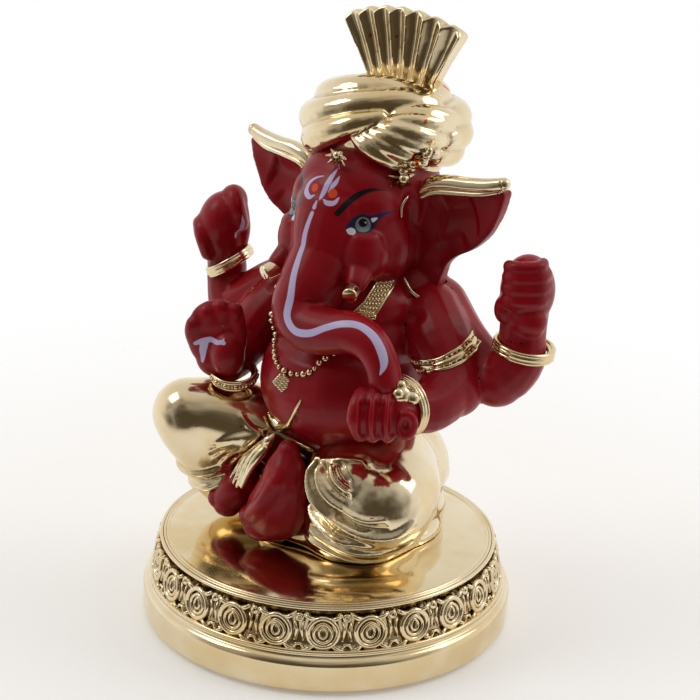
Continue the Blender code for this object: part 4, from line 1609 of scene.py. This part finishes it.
def keptNodes():
    # the CAD solids that stay: pad and plate below, and the metal inside
    felt, fibre = mottled("feltFinish", (0.25, 4.0, 0.7), (0.03, 0.03, 0.035), (0.09, 0.09, 0.10))
    felt.put(Roughness=0.95)
    felt.bump(fibre, 0.6, 0.15)
    board, grit = mottled("boardFinish", (1.2, 4.0), (0.06, 0.055, 0.05), (0.12, 0.11, 0.10))
    board.put(Roughness=0.7)
    board.bump(grit, 0.3, 0.05)
    brass, drawn = mottled("pinBrass", (0.8, 3.0), (0.70, 0.52, 0.24), (0.58, 0.40, 0.17))
    brass.put(Metallic=1.0, Roughness=0.28 + 0.2 * drawn)
    steel, worn = mottled("screwSteel", (0.7, 3.0), (0.62, 0.62, 0.64), (0.48, 0.48, 0.50))
    steel.put(Metallic=1.0, Roughness=0.3 + 0.15 * worn)
    wear = {
        "felt_pad": felt,
        "base_cover": board,
        "seat_screw_left": steel,
        "seat_screw_right": steel,
        "body_dowel": brass,
        "neck_dowel": brass,
        "turban_dowel": brass,
        "plume_pin": brass,
    }
    for node, finish in wear.items():
        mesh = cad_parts[node].data
        mesh.materials.clear()
        mesh.materials.append(finish.material)


def setFloor():
    # pale ground that fades out before its edge
    bm = bmesh.new()
    bmesh.ops.create_circle(bm, cap_ends=True, segments=96, radius=studio["floorRadius"])
    ground = newPiece("floor", bm)
    finish = Finish("floorFinish")
    cloud = finish.noise(60.0, 2.0)
    pale = studio["floor"]
    finish.put(Base_Color=finish.blend(cloud, (*pale, 1), (*[0.99 * c for c in pale], 1)), Roughness=0.7)
    place = finish.add("ShaderNodeTexCoord", out="Object")
    away = finish.add("ShaderNodeVectorMath", {"operation": "LENGTH"}, (place,), "Value")
    finish.put(Alpha=1 - away.step(0.35 * studio["floorRadius"], 0.98 * studio["floorRadius"]))
    finish.put(Emission_Color=(1, 1, 1, 1), Emission_Strength=0.16)
    ground.data.materials.append(finish.material)


def setWorld():
    # a pale room with a broken dark part behind the camera, and a plain backdrop for the camera itself
    world = bpy.data.worlds.new("studio")
    bpy.context.scene.world = world
    world.use_nodes = True
    tree = world.node_tree
    back = tree.nodes["Background"]

    def node(kind, settings=None, values=()):
        made = tree.nodes.new(kind)
        for key, value in (settings or {}).items():
            setattr(made, key, value)
        for key, value in values:
            if isinstance(value, bpy.types.NodeSocket):
                tree.links.new(value, made.inputs[key])
            else:
                made.inputs[key].default_value = value
        return made

    way = node("ShaderNodeTexCoord").outputs["Generated"]
    turn = math.radians(view["azimuth"] + studio["darkTurn"])
    front = (math.sin(turn), -math.cos(turn), studio["darkRise"])
    values = ((0, way), (1, front))
    facing = node("ShaderNodeVectorMath", {"operation": "DOT_PRODUCT"}, values).outputs["Value"]
    values = (("Vector", way), ("Scale", 2.4), ("Detail", 3.0))
    broken = node("ShaderNodeTexNoise", {}, values).outputs["Fac"]
    values = ((0, broken), (1, studio["darkBreak"]), (2, facing))
    facing = node("ShaderNodeMath", {"operation": "MULTIPLY_ADD"}, values).outputs[0]
    height = node("ShaderNodeSeparateXYZ", {}, ((0, way),)).outputs["Z"]
    above = node("ShaderNodeMapRange", {}, ((0, height), (1, 0.1), (2, 0.9), (3, 0.0), (4, 1.0))).outputs[0]
    values = (("Factor", above), (6, (*studio["paleRoom"], 1)), (7, (*studio["ceiling"], 1)))
    pale = node("ShaderNodeMix", {"data_type": "RGBA"}, values).outputs[2]
    dark = node(
        "ShaderNodeMapRange",
        {"interpolation_type": "SMOOTHSTEP"},
        ((0, facing), (1, studio["darkFrom"]), (2, studio["darkTo"]), (3, 0.0), (4, 1.0)),
    ).outputs[0]
    room = node(
        "ShaderNodeMix",
        {"data_type": "RGBA"},
        (("Factor", dark), (6, pale), (7, (*studio["darkRoom"], 1))),
    ).outputs[2]
    seen = node("ShaderNodeLightPath").outputs["Is Camera Ray"]
    shown = node(
        "ShaderNodeMix", {"data_type": "RGBA"}, (("Factor", seen), (6, room), (7, (*studio["backdrop"], 1)))
    ).outputs[2]
    tree.links.new(shown, back.inputs["Color"])
    back.inputs["Strength"].default_value = studio["world"]
    for lamp in studio["lamps"]:
        addLight(*lamp)
    bpy.context.scene.view_settings.view_transform = "Standard"


setCamera()
setFloor()
setWorld()
print("studio set")
makeBody()
makeHead()
makeFeet()
print("red castings made")
plating = goldPlate("goldPlate")
speckled = goldPlate("goldSpecked", 0.26)
makePedestal(goldPlate("goldBase"))
makeDhoti(speckled)
makeSash(speckled)
makeTurban(speckled)
makePlume(speckled)
makeTassel(speckled)
makeBrooch(speckled)
bodyTree = surfaceOf(*[pieces[name + ".cast"] for name in bodyForms])
makeBangles(plating)
makeArmlets(plating, bodyTree)
makeNecklaces(plating, bodyTree)
makePendant(plating, bodyTree)
makeThread(plating, bodyTree)
makeTusksAndEarTrims(plating)
makeModak(plating)
print("gold castings made")
keptNodes()
